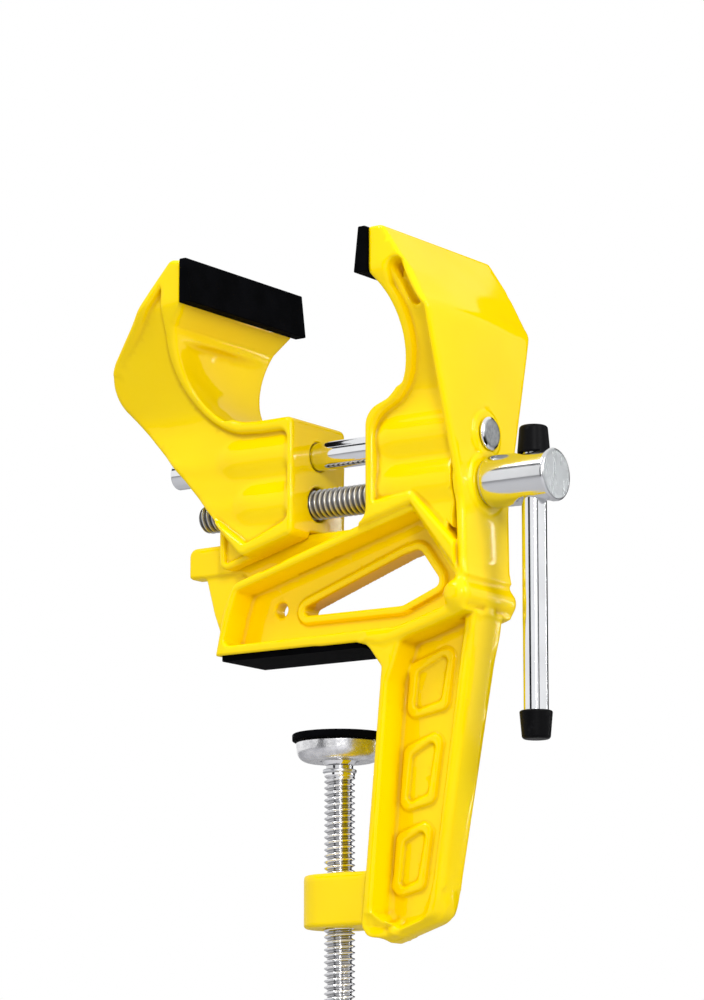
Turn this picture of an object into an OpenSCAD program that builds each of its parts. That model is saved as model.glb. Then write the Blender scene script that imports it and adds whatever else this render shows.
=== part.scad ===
// Ski tuning vise: two padded jaws hold a ski upright or flat, and a leg below clamps it to a table's edge.
// +Z is up. +X runs from the sliding jaw to the turning handle. The mid-plane is Y = 0.
// The origin is the middle of the foot's rubber face, where it rests on the table.
// Inside the modules, X is counted from the table's front edge, and at_foot() brings it to the origin.

/* [Jaws] */
// free width between the two pads, at their middle height
jaw_open = 67.5; // [52:0.5:90]
// height of the pads' lower edges above the table
pad_z = 117.5; // [117:0.5:119]
// height of a pad
pad_height = 15; // [12:0.5:16]
// length of a pad across the ski
pad_length = 66; // [56:1:66]
// thickness of a pad at its upper edge
pad_top_t = 2.8; // [2.2:0.1:3.6]
// thickness of a pad at its lower edge
pad_bottom_t = 4.5; // [3.8:0.1:5.5]
// half width of both jaws where they hold the bores
jaw_half = 15.5; // [14.5:0.5:17]
// half width of both jaws behind the pads
jaw_top_half = 31.5; // [30:0.5:33]
// radius of the round mouth in each jaw
mouth_r = 24.5; // [23.5:0.1:25.2]
// width of the raised rim round the castings' sides
rim_w = 3.4; // [2.6:0.1:4]
// height of that rim over the recessed side
rim_h = 2; // [1.2:0.1:2.4]
// depth of the sunk panel in each mouth's wall
mouth_panel_t = 1.8; // [1:0.1:2.4]
// width of the bands left on both sides of that panel
mouth_band_w = 8.5; // [7:0.5:10]

/* [Outer plate] */
// distance from the table's edge to the outer plate's face, at its foot
plate_x = 38.8; // [38:0.2:42]
// thickness of the outer plate
plate_t = 3; // [2.4:0.1:3.6]
// half width of the outer plate at its foot
plate_half = 13.8; // [13:0.2:15]
// how far the plate leans towards the jaws for each millimetre of height
plate_lean = 0.021; // [0.015:0.001:0.025]
// how far the round seats for the rod and the screw stand out of the plate
seat_h = 1.0; // [0.9:0.1:1.6]
// diameter of the screw's seat
screw_seat_d = 25; // [23:0.5:27]
// diameter of the rod's seat
rod_seat_d = 17; // [15.5:0.5:18]

/* [Rod and lead screw] */
// height of the guide rod's axis above the table
rod_z = 67; // [66:0.5:68]
// diameter of the guide rod
rod_d = 9.4; // [8.6:0.1:10]
// diameter of the rod's riveted head
rod_head_d = 11; // [10.6:0.1:13]
// height of the rod's riveted head
rod_head_h = 1.4; // [1:0.1:2]
// reach of the rod behind the table's edge
rod_reach = 86; // [84:1:90]
// height of the lead screw's axis above the table
screw_z = 51; // [50.5:0.25:51.5]
// diameter of the lead screw over its thread
screw_d = 10; // [9:0.1:10.5]
// reach of the lead screw behind the table's edge
screw_reach = 74; // [73:0.5:76]
// pitch of both screws
pitch = 2; // [1.5:0.25:3]
// outer diameter of the nut in the sliding jaw
nut_d = 14; // [13.5:0.5:15]
// length of that nut
nut_length = 16; // [12:1:18]
// depth at which the nut sits behind the jaw's face
nut_depth = 3; // [2:0.5:4]
// outer diameter of the rod's bushes
bush_d = 12.4; // [12:0.2:13]
// length of one bush
bush_length = 10; // [8:1:12]
// thickness of the thrust washer
washer_t = 0.8; // [0.6:0.1:1.2]
// outer diameter of the thrust washer
washer_d = 20; // [18.5:0.5:22]
// outer diameter of the ring that keeps the screw in the column
ring_d = 14; // [13:0.5:15]
// thickness of that ring
ring_t = 1.2; // [1:0.1:1.5]

/* [Handles] */
// diameter of a screw head
head_d = 17; // [16:0.5:18]
// length of a screw head
head_length = 24.5; // [22:0.5:26]
// distance from a head's outer end to its cross bore
bore_inset = 8.6; // [7.5:0.1:10]
// diameter of a sliding handle bar
bar_d = 8; // [7:0.1:8.4]
// length of a handle over its caps
bar_length = 100; // [90:0.5:110]
// diameter of the countersink at a cross bore's mouth
bore_mouth_d = 12.6; // [11.6:0.1:13]
// length of a bar's cap
cap_length = 9; // [8:0.5:12]
// diameter of a cap at its inner end
cap_d = 10.6; // [10.2:0.1:12]
// diameter of a cap at its outer end
cap_end_d = 9; // [8.4:0.1:10]
// thickness of a cap's end wall
cap_wall = 1.6; // [1:0.1:2.5]
// diameter of the pin through a head and its screw
pin_d = 3; // [2.5:0.1:3.5]

/* [Beam and rail] */
// height of the beam's slanted top where it meets the table's edge plane
beam_z = 40.5; // [40:0.1:41]
// slope of the beam's top
beam_slope = 0.287; // [0.284:0.001:0.29]
// half width of the beam's flanges and the foot
flange_half = 13.5; // [12.5:0.5:14.5]
// thickness of the flanges
flange_t = 3; // [2.4:0.1:3.4]
// half thickness of the web
web_half = 3; // [2.4:0.1:3.6]
// half width of the guide rail
rail_half = 4; // [3.5:0.1:4.5]
// height of the guide rail's top
rail_top = 40.8; // [40.4:0.1:41.2]
// depth of the guide rail
rail_depth = 10.5; // [10:0.5:12]
// reach of the rail behind the table's edge
rail_reach = 78; // [76:1:82]
// height of the bead round the window
bead_h = 1.4; // [1:0.1:2]
// width of that bead
bead_w = 2.8; // [2:0.1:3.2]
// diameter of the small hole in the web
web_hole_d = 5; // [4:0.5:6]

/* [Foot and leg] */
// length of the foot
foot_length = 60; // [58:0.5:62]
// height of the casting's underside above the table
foot_lift = 1.5; // [1:0.1:2]
// thickness of the rubber under the foot
foot_pad_t = 3; // [2.5:0.1:3.4]
// width of the rubber under the foot
foot_pad_width = 24; // [20:0.5:25]
// distance between the rubber and the foot's ends
foot_pad_inset = 2; // [1.5:0.5:4]
// depth of the leg's lowest edge below the table's top
leg_depth = 94.5; // [94:0.5:97]
// half width of the leg's right band at its top
band_half = 8.3; // [8:0.1:9]
// thickness of the leg's right band
band_t = 4; // [3.5:0.1:4.6]
// height of the rings raised on the leg's web
leg_ring_h = 1.2; // [0.8:0.1:1.6]
// width of those raised rings
leg_ring_w = 2.6; // [2:0.1:3]
// how far the belt rib stands out of the outer plate
belt_h = 2.8; // [2:0.1:3.5]

/* [Table clamp] */
// thickness of the table that is held in the pose shown
table_t = 25.5; // [12:0.5:44]
// distance from the table's edge to the clamp screw's axis
clamp_x = 19.1; // [18.5:0.1:20]
// diameter of the lug round the clamp screw
lug_d = 23; // [21:0.5:24]
// height of the lug
lug_height = 17.1; // [15:0.5:19]
// depth of the lug's top below the table's top
lug_depth = 71.3; // [70:0.5:73]
// diameter of the clamp screw over its thread
clamp_d = 10; // [9:0.1:10.5]
// length of the clamp screw's thread below its cap
clamp_length = 84; // [82:0.5:90]
// diameter of the rubber disc on the cap
disc_d = 30.8; // [29:0.2:33]
// thickness of that disc
disc_t = 2.5; // [2:0.1:3.5]
// diameter of the swivel cap
swivel_d = 28.8; // [27:0.2:29]
// height of the swivel cap
swivel_h = 8; // [7.6:0.1:9]
// height of the cap's straight side
swivel_side = 4.4; // [3.5:0.1:5]
// diameter of the ball in the cap
ball_d = 12.4; // [12.2:0.1:12.8]

/* [Hidden] */
$fn = 72;

// clearance of a part that turns or slides on another
run_gap = 0.05;
// clearance of a part that is pressed in or held
fit_gap = 0.02;
// clearance between castings that pass each other
pass_gap = 0.4;
// overlap that joins two solids of one casting
weld = 1;
// length that carries a cut right through
through = 80;

yellow = [0.98, 0.82, 0.05];
black = [0.06, 0.06, 0.07];
chrome_tone = [0.82, 0.83, 0.85];
steel_tone = [0.62, 0.63, 0.65];
bronze_tone = [0.72, 0.55, 0.3];

// the foot's middle, and so the origin, lies this far behind the table's edge
edge_x = foot_length / 2;

// pads and jaws
pad_mid_t = (pad_top_t + pad_bottom_t) / 2;
fixed_seat_x = 13.8;
sliding_seat_x = fixed_seat_x - 2 * pad_mid_t - jaw_open;
pad_top = pad_z + pad_height;
// the sliding jaw's face towards the column, counted from its pad seat
jaw_face = 33.5;
jaw_face_x = sliding_seat_x + jaw_face;
// the sliding jaw's slanted underside is parallel to the beam and this far above it
jaw_lift = 7.0;

// outer plate
plate_bend_z = 105.3;
// the plate is as wide at its top as the jaws are
plate_top_half = jaw_top_half;
plate_seat_x = plate_x - plate_lean * (screw_z - 25) + seat_h;
head_x = plate_seat_x + washer_t + run_gap;

// handles
// wall between a head's blind bore and its cross bore
bore_floor_t = 0.8;
screw_in_head = head_length - bore_inset - bar_d / 2 - bore_floor_t;
lead_bar_x = head_x + head_length - bore_inset;
// a cap sinks into the countersink until its rim meets the slope
cap_sink = (bore_mouth_d - cap_d) / 2;
upper_cap_seat = screw_z + head_d / 2 - cap_sink + fit_gap;
upper_bar_top = upper_cap_seat + cap_length;
upper_bar_bottom = upper_bar_top - bar_length;

// clamp
disc_top = -table_t;
swivel_top = disc_top - disc_t;
swivel_bottom = swivel_top - swivel_h;
ball_z = swivel_bottom + 4.4;
// depth of the ball's flat top below the disc
ball_top_gap = 0.9;
clamp_head_top = swivel_bottom - clamp_length;
lower_bar_z = clamp_head_top - head_length + bore_inset;
ball_washer_t = 1.2;
ball_washer_d = 14;
// room between the washer and the cap, so that the cap can tilt
ball_washer_gap = 1;
ball_washer_z = swivel_bottom - ball_washer_gap - ball_washer_t;
neck_d = min(ball_d - 3.4, clamp_d - 1);

// column and leg
apex = [18.5, beam_z + beam_slope * 18.5];
foot_tip = [0, foot_lift];
column_x = 1.3;
pocket_corner = [33, 33];
leg_lean = 0.0934;
leg_right_lean = 0.195;
leg_top_left = [6.1, -6.9];
leg_bottom_z = 1.5 - leg_depth;

// unit vector
function unit(v) = v / norm(v);

// Points of a round corner of radius r at b, between the edges to a and c.
function corner_arc(a, b, c, r) =
    let (u = unit(a - b), v = unit(c - b), half = acos(u * v) / 2)
    let (middle = b + unit(u + v) * r / sin(half))
    let (from = b + u * r / tan(half) - middle, to = b + v * r / tan(half) - middle)
    let (turn = atan2(from[0] * to[1] - from[1] * to[0], from * to), steps = max(1, ceil(abs(turn) / 15)))
    [for (i = [0 : steps])
        let (t = turn * i / steps)
        middle + [from[0] * cos(t) - from[1] * sin(t), from[0] * sin(t) + from[1] * cos(t)]];

// X and Z of a point, without its corner radius.
function place(p) = [p[0], p[1]];

// Length of edge that the round corner at point i takes on both sides.
function corner_reach(points, i) =
    let (n = len(points), p = points[i], a = place(points[(i + n - 1) % n]), c = place(points[(i + 1) % n]))
    len(p) < 3 ? 0 : p[2] / tan(acos(unit(a - place(p)) * unit(c - place(p))) / 2);

// Closed outline with round corners, where each point is [x, z] or [x, z, corner radius].
// Where two corners ask for more than their shared edge, both give way in proportion.
function rounded(points) =
    let (n = len(points), reach = [for (i = [0 : n - 1]) corner_reach(points, i)])
    [for (i = [0 : n - 1])
        let (before = (i + n - 1) % n, after = (i + 1) % n)
        let (p = place(points[i]), a = place(points[before]), c = place(points[after]))
        let (room = min(norm(a - p) / max(0.001, reach[before] + reach[i]),
                        norm(c - p) / max(0.001, reach[after] + reach[i])))
        each len(points[i]) < 3 ? [p] : corner_arc(a, p, c, points[i][2] * min(1, 0.98 * room))];

// Points on an arc from angle a0 to angle a1.
function arc_points(middle, r, a0, a1, steps) =
    [for (i = [0 : steps])
        let (a = a0 + (a1 - a0) * i / steps)
        [middle[0] + r * cos(a), middle[1] + r * sin(a)]];

// The outline moved outwards by a margin, edge by edge, for points that run clockwise.
function grown(points, margin) =
    let (n = len(points))
    [for (i = [0 : n - 1])
        let (p = points[i], a = points[(i + n - 1) % n], c = points[(i + 1) % n])
        let (u = unit([p[0] - a[0], p[1] - a[1]]), v = unit([c[0] - p[0], c[1] - p[1]]))
        let (out = [-u[1] - v[1], u[0] + v[0]] / (1 + u * v))
        [p[0] + margin * out[0], p[1] + margin * out[1], max(0.5, p[2] + margin)]];

// X of the outer plate's face at a height.
function plate_face(z) = plate_x - plate_lean * max(0, z - 25);

// X of the leg's left and right faces at a height.
function leg_left(z) = leg_top_left[0] + leg_lean * (z - leg_top_left[1]);
function leg_right(z) = plate_x - 0.9 + leg_right_lean * z;

// height of the beam's slanted top
function beam_top(x) = beam_z + beam_slope * x;

// Flat shapes in X and Z, made one plate between Y = -half and Y = half.
module layer(half) {
    rotate([90, 0, 0])
        translate([0, 0, -half])
            linear_extrude(2 * half)
                children();
}

module slab(points, half) {
    layer(half)
        polygon(points);
}

// Plates on both sides, between Y = inner and Y = outer.
module side_slabs(points, inner, outer) {
    for (side = [0, 1])
        mirror([0, side, 0])
            rotate([90, 0, 0])
                translate([0, 0, inner])
                    linear_extrude(outer - inner)
                        polygon(points);
}

// A symmetric outline of [half width, z] points, extruded along X.
module envelope(stations, x0, x1) {
    outline = rounded(concat(
        stations,
        [for (i = [len(stations) - 1 : -1 : 0])
            let (s = stations[i])
            len(s) < 3 ? [-s[0], s[1]] : [-s[0], s[1], s[2]]]));
    translate([x0, 0, 0])
        rotate([90, 0, 90])
            linear_extrude(x1 - x0)
                polygon(outline);
}

// A round bar along X or along Z.
module bar_x(x0, x1, z, d) {
    translate([x0, 0, z])
        rotate([0, 90, 0])
            cylinder(h = x1 - x0, d = d);
}

module bar_z(z0, z1, x, d) {
    translate([x, 0, z0])
        cylinder(h = z1 - z0, d = d);
}

// Everything inside is drawn from the table's edge.
module at_foot() {
    translate([edge_x, 0, 0])
        children();
}

// Jaws

// half widths of both jaws over their height, less an inset
function jaw_stations(inset) = [
    [jaw_half - inset, -through],
    [jaw_half - inset, 82, 22],
    [jaw_top_half - inset, 82 + (jaw_top_half - jaw_half) / 0.444, 8],
    [jaw_top_half - inset, pad_top + 6]];

// half widths of the outer plate over its height
function plate_stations() = [
    [plate_half, -through],
    [plate_half, 45, 30],
    [plate_top_half, 45 + (plate_top_half - plate_half) / 0.29, 12],
    [plate_top_half - 2.4, pad_top + 6]];

fixed_mouth = [fixed_seat_x - 17.5, 100];
fixed_arc = arc_points(fixed_mouth, mouth_r, -56, 40, 12);
roof_top = [19.4, pad_top];

// The frame's upright part seen from the side, with the fixed jaw at its top.
function upright_outline() = rounded(concat(
    [[column_x, beam_top(column_x) - 2], [column_x, 76.5, 7]],
    fixed_arc,
    [[fixed_seat_x, pad_z, 1.5], [fixed_seat_x, pad_top], [roof_top[0], pad_top, 2],
     [plate_face(plate_bend_z), plate_bend_z, 6], [plate_face(34), 34], [plate_face(20), 20],
     [plate_face(20) - 2, 20], [apex[0], apex[1] - 1.5]]));

// The recessed side of the upright part, inside its rim.
function upright_pocket() = rounded(concat(
    [[column_x + rim_w, 47], [column_x + rim_w, 73.5, 8]],
    arc_points(fixed_mouth, mouth_r + rim_w, -50, 28, 10),
    [[roof_top[0] + 1.5, pad_z + 3, 3], [roof_top[0] + 7, pad_z + 3, 3],
     [plate_face(plate_bend_z) - plate_t - 0.6, plate_bend_z - 2, 5],
     [plate_face(34) - plate_t, 30], [pocket_corner[0], pocket_corner[1], 2], [19, 48.5, 3]]));

// The outer plate with its slanted roof, as a strip.
function plate_outline() = [
    [plate_face(12), 8], [plate_face(12), 25], [plate_face(plate_bend_z), plate_bend_z],
    [roof_top[0], pad_top], [roof_top[0] - 4, pad_top],
    [plate_face(plate_bend_z) - plate_t, plate_bend_z - 1.5], [plate_face(12) - plate_t, 25],
    [plate_face(12) - plate_t, 8]];

module fixed_upright() {
    // rim along the mouth and the column's left face
    intersection() {
        difference() {
            slab(upright_outline(), through);
            slab(upright_pocket(), through + weld);
        }
        envelope(jaw_stations(0), 0, plate_face(plate_bend_z) - plate_t + weld);
    }
    // recessed core
    intersection() {
        slab(upright_outline(), through);
        envelope(jaw_stations(rim_h), 0, 40);
    }
    // outer plate
    intersection() {
        slab(plate_outline(), through);
        envelope(plate_stations(), 0, 60);
    }
    // bulges along the rod's and the screw's bores
    intersection() {
        slab(upright_outline(), through);
        for (side = [-1, 1])
            for (z = [rod_z, screw_z])
                translate([0, side * (jaw_half - 6), 0])
                    bar_x(column_x + rim_w / 2, plate_face(z) - plate_t / 2, z, 11);
    }
    // round seats on the outer plate
    bar_x(plate_x - plate_t, plate_seat_x, screw_z, screw_seat_d);
    bar_x(plate_x - plate_t, plate_seat_x, rod_z, rod_seat_d);
}

// The sunk panel in the fixed jaw's mouth.
module fixed_mouth_panel() {
    intersection() {
        slab(concat(arc_points(fixed_mouth, mouth_r + mouth_panel_t, -44, 30, 10), [fixed_mouth]), through);
        envelope(jaw_stations(mouth_band_w), -20, 30);
    }
}

// Beam, rail and foot

// The beam's web, from the foot up to the column.
function web_outline() = rounded([
    [-foot_length + 1.5, foot_lift], [-foot_length + 3.1, 15.9], [-52.9, beam_top(-52.9), 3],
    [apex[0], apex[1], 3], [plate_face(19.5) - 1, 19.5], [plate_face(12) - 1, 8], foot_tip]);

// The rim that runs round the web: end, top flange, the diagonal rib and the foot.
module beam_flange_shape() {
    difference() {
        polygon(rounded([
            [-foot_length, foot_lift], [-foot_length + 3.1, 15.9], [-52.9, beam_top(-52.9), 3],
            [apex[0], apex[1], 4], [plate_face(19.5) - 1, 17.5], [plate_face(12) - 1, 8],
            [8, foot_lift + 0.4], [4, foot_lift]]));
        polygon(rounded([
            [-foot_length + flange_t, foot_lift + flange_t + 0.5, 2],
            [-foot_length + flange_t + 2.8, 15.9 - 0.6],
            [-51.5, beam_top(-51.5) - flange_t, 2],
            [apex[0] - 0.8, apex[1] - flange_t - 0.4, 3], [plate_face(19.5) - 3.8, 17.2, 2],
            [11, foot_lift + flange_t + 0.5, 6]]));
    }
}

// The window's corners, clockwise, each with its radius.
window_corners = [
    [-32, 13.8, 1.4], [-29.6, 16.6, 1.4], [8.4, 29.9, 3], [15.2, 31.4, 3], [23.6, 19.6, 2.2], [8.2, 13.7, 6]];

// The web below the rail's free end.
module rail_web_shape() {
    polygon([[-foot_length - 2, foot_lift], [-68.4, 18], [-72, rail_top - rail_depth + weld],
             [-40, rail_top - rail_depth + weld], [-50, foot_lift]]);
}

function rail_outline() = rounded([
    [-rail_reach, rail_top - rail_depth, 1], [-rail_reach, rail_top, 3], [column_x + weld, rail_top],
    [column_x + weld, rail_top - rail_depth]]);

// The belt: a rounded rib that climbs from the foot and wraps round the outer plate.
function belt_outline() = rounded([
    [-2, foot_lift + 0.1], [0.5, foot_lift + flange_t + 0.5], [9, foot_lift + flange_t + 0.5, 8],
    [plate_x - 3, 14.2, 2], [plate_x + belt_h, 16.4, 1.8], [plate_x + belt_h, 12.4, 2.2], [plate_x - 1, 8.2, 3],
    [12, foot_lift - 2.5], [6, foot_lift - 4]]);

// The recess for the rubber under the foot.
module foot_recess() {
    translate([-foot_length + foot_pad_inset - pass_gap, -foot_pad_width / 2 - pass_gap, -weld])
        cube([foot_length - 2 * foot_pad_inset + 2 * pass_gap, foot_pad_width + 2 * pass_gap,
              foot_pad_t + fit_gap + weld]);
}

// Leg

// The leg's whole outline from the side.
function leg_outline() = rounded([
    [4, foot_lift + weld], foot_tip, leg_top_left, [leg_left(-88.8), -88.8], [0.2, -93.2, 3],
    [7.1, leg_bottom_z + 1.2], [8.5, leg_bottom_z, 1], [22.5, leg_bottom_z + 9, 8],
    [leg_right(-70), -70], [leg_right(6), 9]]);

// The leg's left flange with its bottom edge.
function leg_flange_outline() = rounded([
    [9, foot_lift + weld], foot_tip, leg_top_left, [leg_left(-88.8), -88.8], [0.2, -93.2, 3],
    [4.3, -93.2], [15.9, -88.7], [15.9 - 0.9, -88.7 + flange_t - 0.6], [4.6, -90.6, 2],
    [leg_left(-86) + flange_t + 0.6, -86], [leg_left(-12) + flange_t, -12],
    [leg_left(-6) + flange_t + 2, -5.5, 4], [14, foot_lift + weld]]);

module leg_band() {
    intersection() {
        difference() {
            slab(leg_outline(), band_half);
            slab(rounded([
                [-20, -30], [-20, -88.5], [5, -90.2], [16.6, -87.4, 7], [leg_right(-70) - band_t, -70],
                [leg_right(6) - band_t, 9], [-20, 9]]), through);
        }
        envelope([[band_half - 1.1, -100], [band_half, 0], [band_half, 20]], -10, 60);
    }
}

// A ring raised on both sides of the leg's web, between two heights, with slanted ends.
module leg_ring(top, bottom, left_pad, right_pad, top_slant, bottom_slant) {
    outer = [
        [leg_left(top) + left_pad, top], [leg_right(top) - right_pad, top + top_slant],
        [leg_right(bottom) - right_pad, bottom + bottom_slant], [leg_left(bottom) + left_pad, bottom]];
    middle = (outer[0] + outer[1] + outer[2] + outer[3]) / 4;
    inner = [for (p = outer)
        [p[0] - sign(p[0] - middle[0]) * leg_ring_w, p[1] - sign(p[1] - middle[1]) * leg_ring_w]];
    difference() {
        slab(rounded([for (p = outer) [p[0], p[1], 3.2]]), web_half + leg_ring_h);
        side_slabs(rounded([for (p = inner) [p[0], p[1], 1.8]]), web_half - 0.4, through);
    }
}

module lug() {
    bar_z(-lug_depth - lug_height, -lug_depth, -clamp_x, lug_d);
    translate([-clamp_x, -lug_d / 2, -lug_depth - lug_height])
        cube([clamp_x + leg_left(-lug_depth - lug_height) + weld, lug_d, lug_height]);
}

module frame_casting() {
    color(yellow)
        difference() {
            union() {
                fixed_upright();
                layer(web_half) {
                    polygon(web_outline());
                    polygon(leg_outline());
                    rail_web_shape();
                }
                layer(flange_half) {
                    beam_flange_shape();
                    polygon(belt_outline());
                    polygon(leg_flange_outline());
                }
                slab(rail_outline(), rail_half);
                slab(rounded(grown(window_corners, bead_w)), web_half + bead_h);
                leg_band();
                leg_ring(-5.6, -23.4, 5, 8.4, 5.6, 2.6);
                leg_ring(-32.2, -53, 5, 8.4, 5.2, 2.8);
                leg_ring(-59.6, -80, 4.6, 7.6, 4.4, 2.6);
                lug();
            }
            foot_recess();
            slab(rounded(window_corners), through);
            translate([-40.5, through / 2, 16.8])
                rotate([90, 0, 0])
                    cylinder(h = through, d = web_hole_d);
            fixed_mouth_panel();
            // bores for the rod, the screw, its keeper ring and the clamp screw
            bar_x(column_x - weld, plate_seat_x + weld, rod_z, rod_d + 2 * fit_gap);
            bar_x(column_x - weld, plate_seat_x + weld, screw_z, screw_d + 2 * run_gap);
            bar_x(column_x - weld, column_x + ring_t + 2 * pass_gap, screw_z, ring_d + 2 * pass_gap);
            bar_z(-lug_depth - lug_height - weld, -lug_depth + weld, -clamp_x, clamp_d + 2 * run_gap);
        }
}

// Sliding jaw, drawn from its own pad seat

sliding_mouth = [17.7, 103];
jaw_bottom = [0, beam_top(sliding_seat_x) + jaw_lift];
function jaw_under(x) = jaw_bottom[1] + beam_slope * x;
back_corner = [-43.2, 96.3];
cheek_end = -0.1;
cheek_half = 9.8;

function jaw_outline() = rounded(concat(
    [[jaw_face, jaw_under(jaw_face), 1.5], [jaw_face, 78.6, 2], [18.6, 78.5]],
    arc_points(sliding_mouth, mouth_r, 262, 160, 12),
    [[0, pad_z, 1.5], [0, pad_top], [-5.4, pad_top + 0.8, 1.5], [-23, 114.4, 40],
     [back_corner[0], back_corner[1], 11.8], [12.3, jaw_under(12.3), 2]]));

// The recessed side inside the jaw's rim; it runs out over the back edge.
function jaw_pocket() = rounded(concat(
    [[jaw_face - rim_w + 0.8, jaw_under(jaw_face) + 5, 3], [jaw_face - rim_w + 0.8, 74.4, 3], [20.4, 74.4, 6]],
    arc_points(sliding_mouth, mouth_r + rim_w + 0.6, 258, 168, 12),
    [[-9.2, 126, 3], [-13.4, 126, 3], [-30, 114], [-52, 98], [-36, 82], [-5, 52, 8],
     [14, jaw_under(14) + 4, 2.5]]));

module sliding_jaw_body() {
    intersection() {
        difference() {
            slab(jaw_outline(), through);
            slab(jaw_pocket(), through + weld);
        }
        envelope(jaw_stations(0), -60, 60);
    }
    intersection() {
        slab(jaw_outline(), through);
        envelope(jaw_stations(rim_h), -60, 60);
    }
    // cheeks that straddle the rail
    slab(rounded([
        [cheek_end, jaw_under(3.4) + 0.4, 3], [cheek_end, 50], [14, 62], [jaw_face - 1, 46],
        [jaw_face - 1, jaw_under(jaw_face - 1)], [3.4, jaw_under(3.4)]]), cheek_half);
    // bulges along the bores
    intersection() {
        slab(jaw_outline(), through);
        for (side = [-1, 1]) {
            translate([0, side * (jaw_half - 6), 0])
                bar_x(4, jaw_face - rim_w / 2, rod_z, 11);
            translate([0, side * (jaw_half - 6), 0])
                bar_x(10, jaw_face - rim_w / 2, screw_z, 11);
        }
    }
}

// The hollow in the jaw's back, with a wall left round it and a rib down its middle.
module jaw_back_hollow() {
    wall = 4;
    intersection() {
        slab(rounded(concat(
            arc_points(sliding_mouth, mouth_r + wall + 3, 250, 166, 8),
            [[-11, 122, 4], [-30, 124], [-70, 110], [-60, 82], [-20, 78], [-2, 76.5, 3]])), through);
        difference() {
            envelope([[jaw_half - rim_h - wall, 30], [jaw_half - rim_h - wall, 82, 10],
                      [jaw_top_half - rim_h - wall, 118, 6], [jaw_top_half - rim_h - wall, 150]], -80, 40);
            translate([-80, -wall / 2, 0])
                cube([120, wall, 200]);
        }
    }
}

module sliding_mouth_panel() {
    intersection() {
        slab(concat(arc_points(sliding_mouth, mouth_r + mouth_panel_t, 250, 166, 10), [sliding_mouth]), through);
        envelope(jaw_stations(mouth_band_w), -40, 30);
    }
}

module sliding_jaw() {
    color(yellow)
        translate([sliding_seat_x, 0, 0])
            difference() {
                sliding_jaw_body();
                jaw_back_hollow();
                sliding_mouth_panel();
                // slot over the rail
                translate([-40, -rail_half - pass_gap, 0])
                    cube([100, 2 * (rail_half + pass_gap), rail_top + pass_gap]);
                // bores for the rod's bushes, the screw and its nut
                bar_x(-60, jaw_face + weld, rod_z, bush_d + 2 * fit_gap);
                bar_x(-60, jaw_face + weld, screw_z, screw_d + 2 * pass_gap + 0.8);
                bar_x(jaw_face - nut_depth - nut_length - fit_gap, jaw_face - nut_depth + fit_gap, screw_z,
                      nut_d + 2 * fit_gap);
            }
}

// A pad with its outer face leaning, drawn from its seat towards +X.
module pad() {
    slab([[0, pad_z], [pad_bottom_t, pad_z], [pad_top_t, pad_top], [0, pad_top]], pad_length / 2);
}

module sliding_jaw_pad() {
    color(black)
        translate([sliding_seat_x, 0, 0])
            pad();
}

module fixed_jaw_pad() {
    color(black)
        translate([fixed_seat_x, 0, 0])
            mirror([1, 0, 0])
                pad();
}

module foot_pad() {
    color(black)
        translate([-foot_length + foot_pad_inset, -foot_pad_width / 2, 0])
            cube([foot_length - 2 * foot_pad_inset, foot_pad_width, foot_pad_t]);
}

// Rod and lead screw

module guide_rod() {
    chamfer = 0.8;
    color(chrome_tone) {
        bar_x(-rod_reach, plate_seat_x + weld, rod_z, rod_d);
        translate([plate_seat_x, 0, rod_z])
            rotate([0, 90, 0])
                rotate_extrude()
                    polygon([[0, 0], [rod_head_d / 2, 0], [rod_head_d / 2, rod_head_h - chamfer],
                             [rod_head_d / 2 - chamfer, rod_head_h], [0, rod_head_h]]);
    }
}

// A tube along X.
module tube_x(x0, x1, z, outer_d, inner_d) {
    difference() {
        bar_x(x0, x1, z, outer_d);
        bar_x(x0 - weld, x1 + weld, z, inner_d);
    }
}

module bush(x) {
    color(bronze_tone)
        tube_x(x - bush_length, x, rod_z, bush_d, rod_d + 2 * run_gap);
}

module front_bush() {
    bush(jaw_face_x - 1);
}

module rear_bush() {
    bush(jaw_face_x - 21);
}

module jaw_nut() {
    color(bronze_tone)
        tube_x(jaw_face_x - nut_depth - nut_length, jaw_face_x - nut_depth, screw_z, nut_d, screw_d + 2 * run_gap);
}

module lead_screw() {
    tip = pitch / 2;
    color(steel_tone)
        difference() {
            translate([-screw_reach, 0, screw_z])
                rotate([0, 90, 0])
                    rotate_extrude()
                        polygon([[0, 0], [screw_d / 2 - tip, 0], [screw_d / 2, tip],
                                 [screw_d / 2, screw_reach + head_x + screw_in_head],
                                 [0, screw_reach + head_x + screw_in_head]]);
            head_pin_bore(head_x + screw_in_head / 2);
        }
}

module head_pin_bore(x) {
    translate([x, 0, screw_z - head_d])
        cylinder(h = 2 * head_d, d = pin_d + 2 * fit_gap);
}

// A screw head along +Z from its inner face, with a blind bore for the screw and a countersunk cross bore.
module screw_head(shaft_d) {
    chamfer = 1;
    mouth_depth = (bore_mouth_d - bar_d) / 2;
    difference() {
        rotate_extrude()
            polygon([[0, 0], [head_d / 2 - chamfer, 0], [head_d / 2, chamfer], [head_d / 2, head_length - chamfer],
                     [head_d / 2 - chamfer, head_length], [0, head_length]]);
        translate([0, 0, -weld])
            cylinder(h = screw_in_head + fit_gap + weld, d = shaft_d + 2 * fit_gap);
        translate([0, 0, head_length - bore_inset])
            rotate([0, 90, 0])
                cylinder(h = 2 * head_d, d = bar_d + 2 * run_gap, center = true);
        for (turn = [90, -90])
            translate([0, 0, head_length - bore_inset])
                rotate([0, turn, 0])
                    translate([0, 0, head_d / 2 - mouth_depth])
                        cylinder(h = mouth_depth + weld, d1 = bar_d, d2 = bore_mouth_d + 2 * weld);
        translate([0, 0, screw_in_head / 2])
            rotate([0, 90, 0])
                cylinder(h = 2 * head_d, d = pin_d + 2 * fit_gap, center = true);
    }
}

module head_pin() {
    cylinder(h = head_d - 1, d = pin_d, center = true);
}

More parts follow.
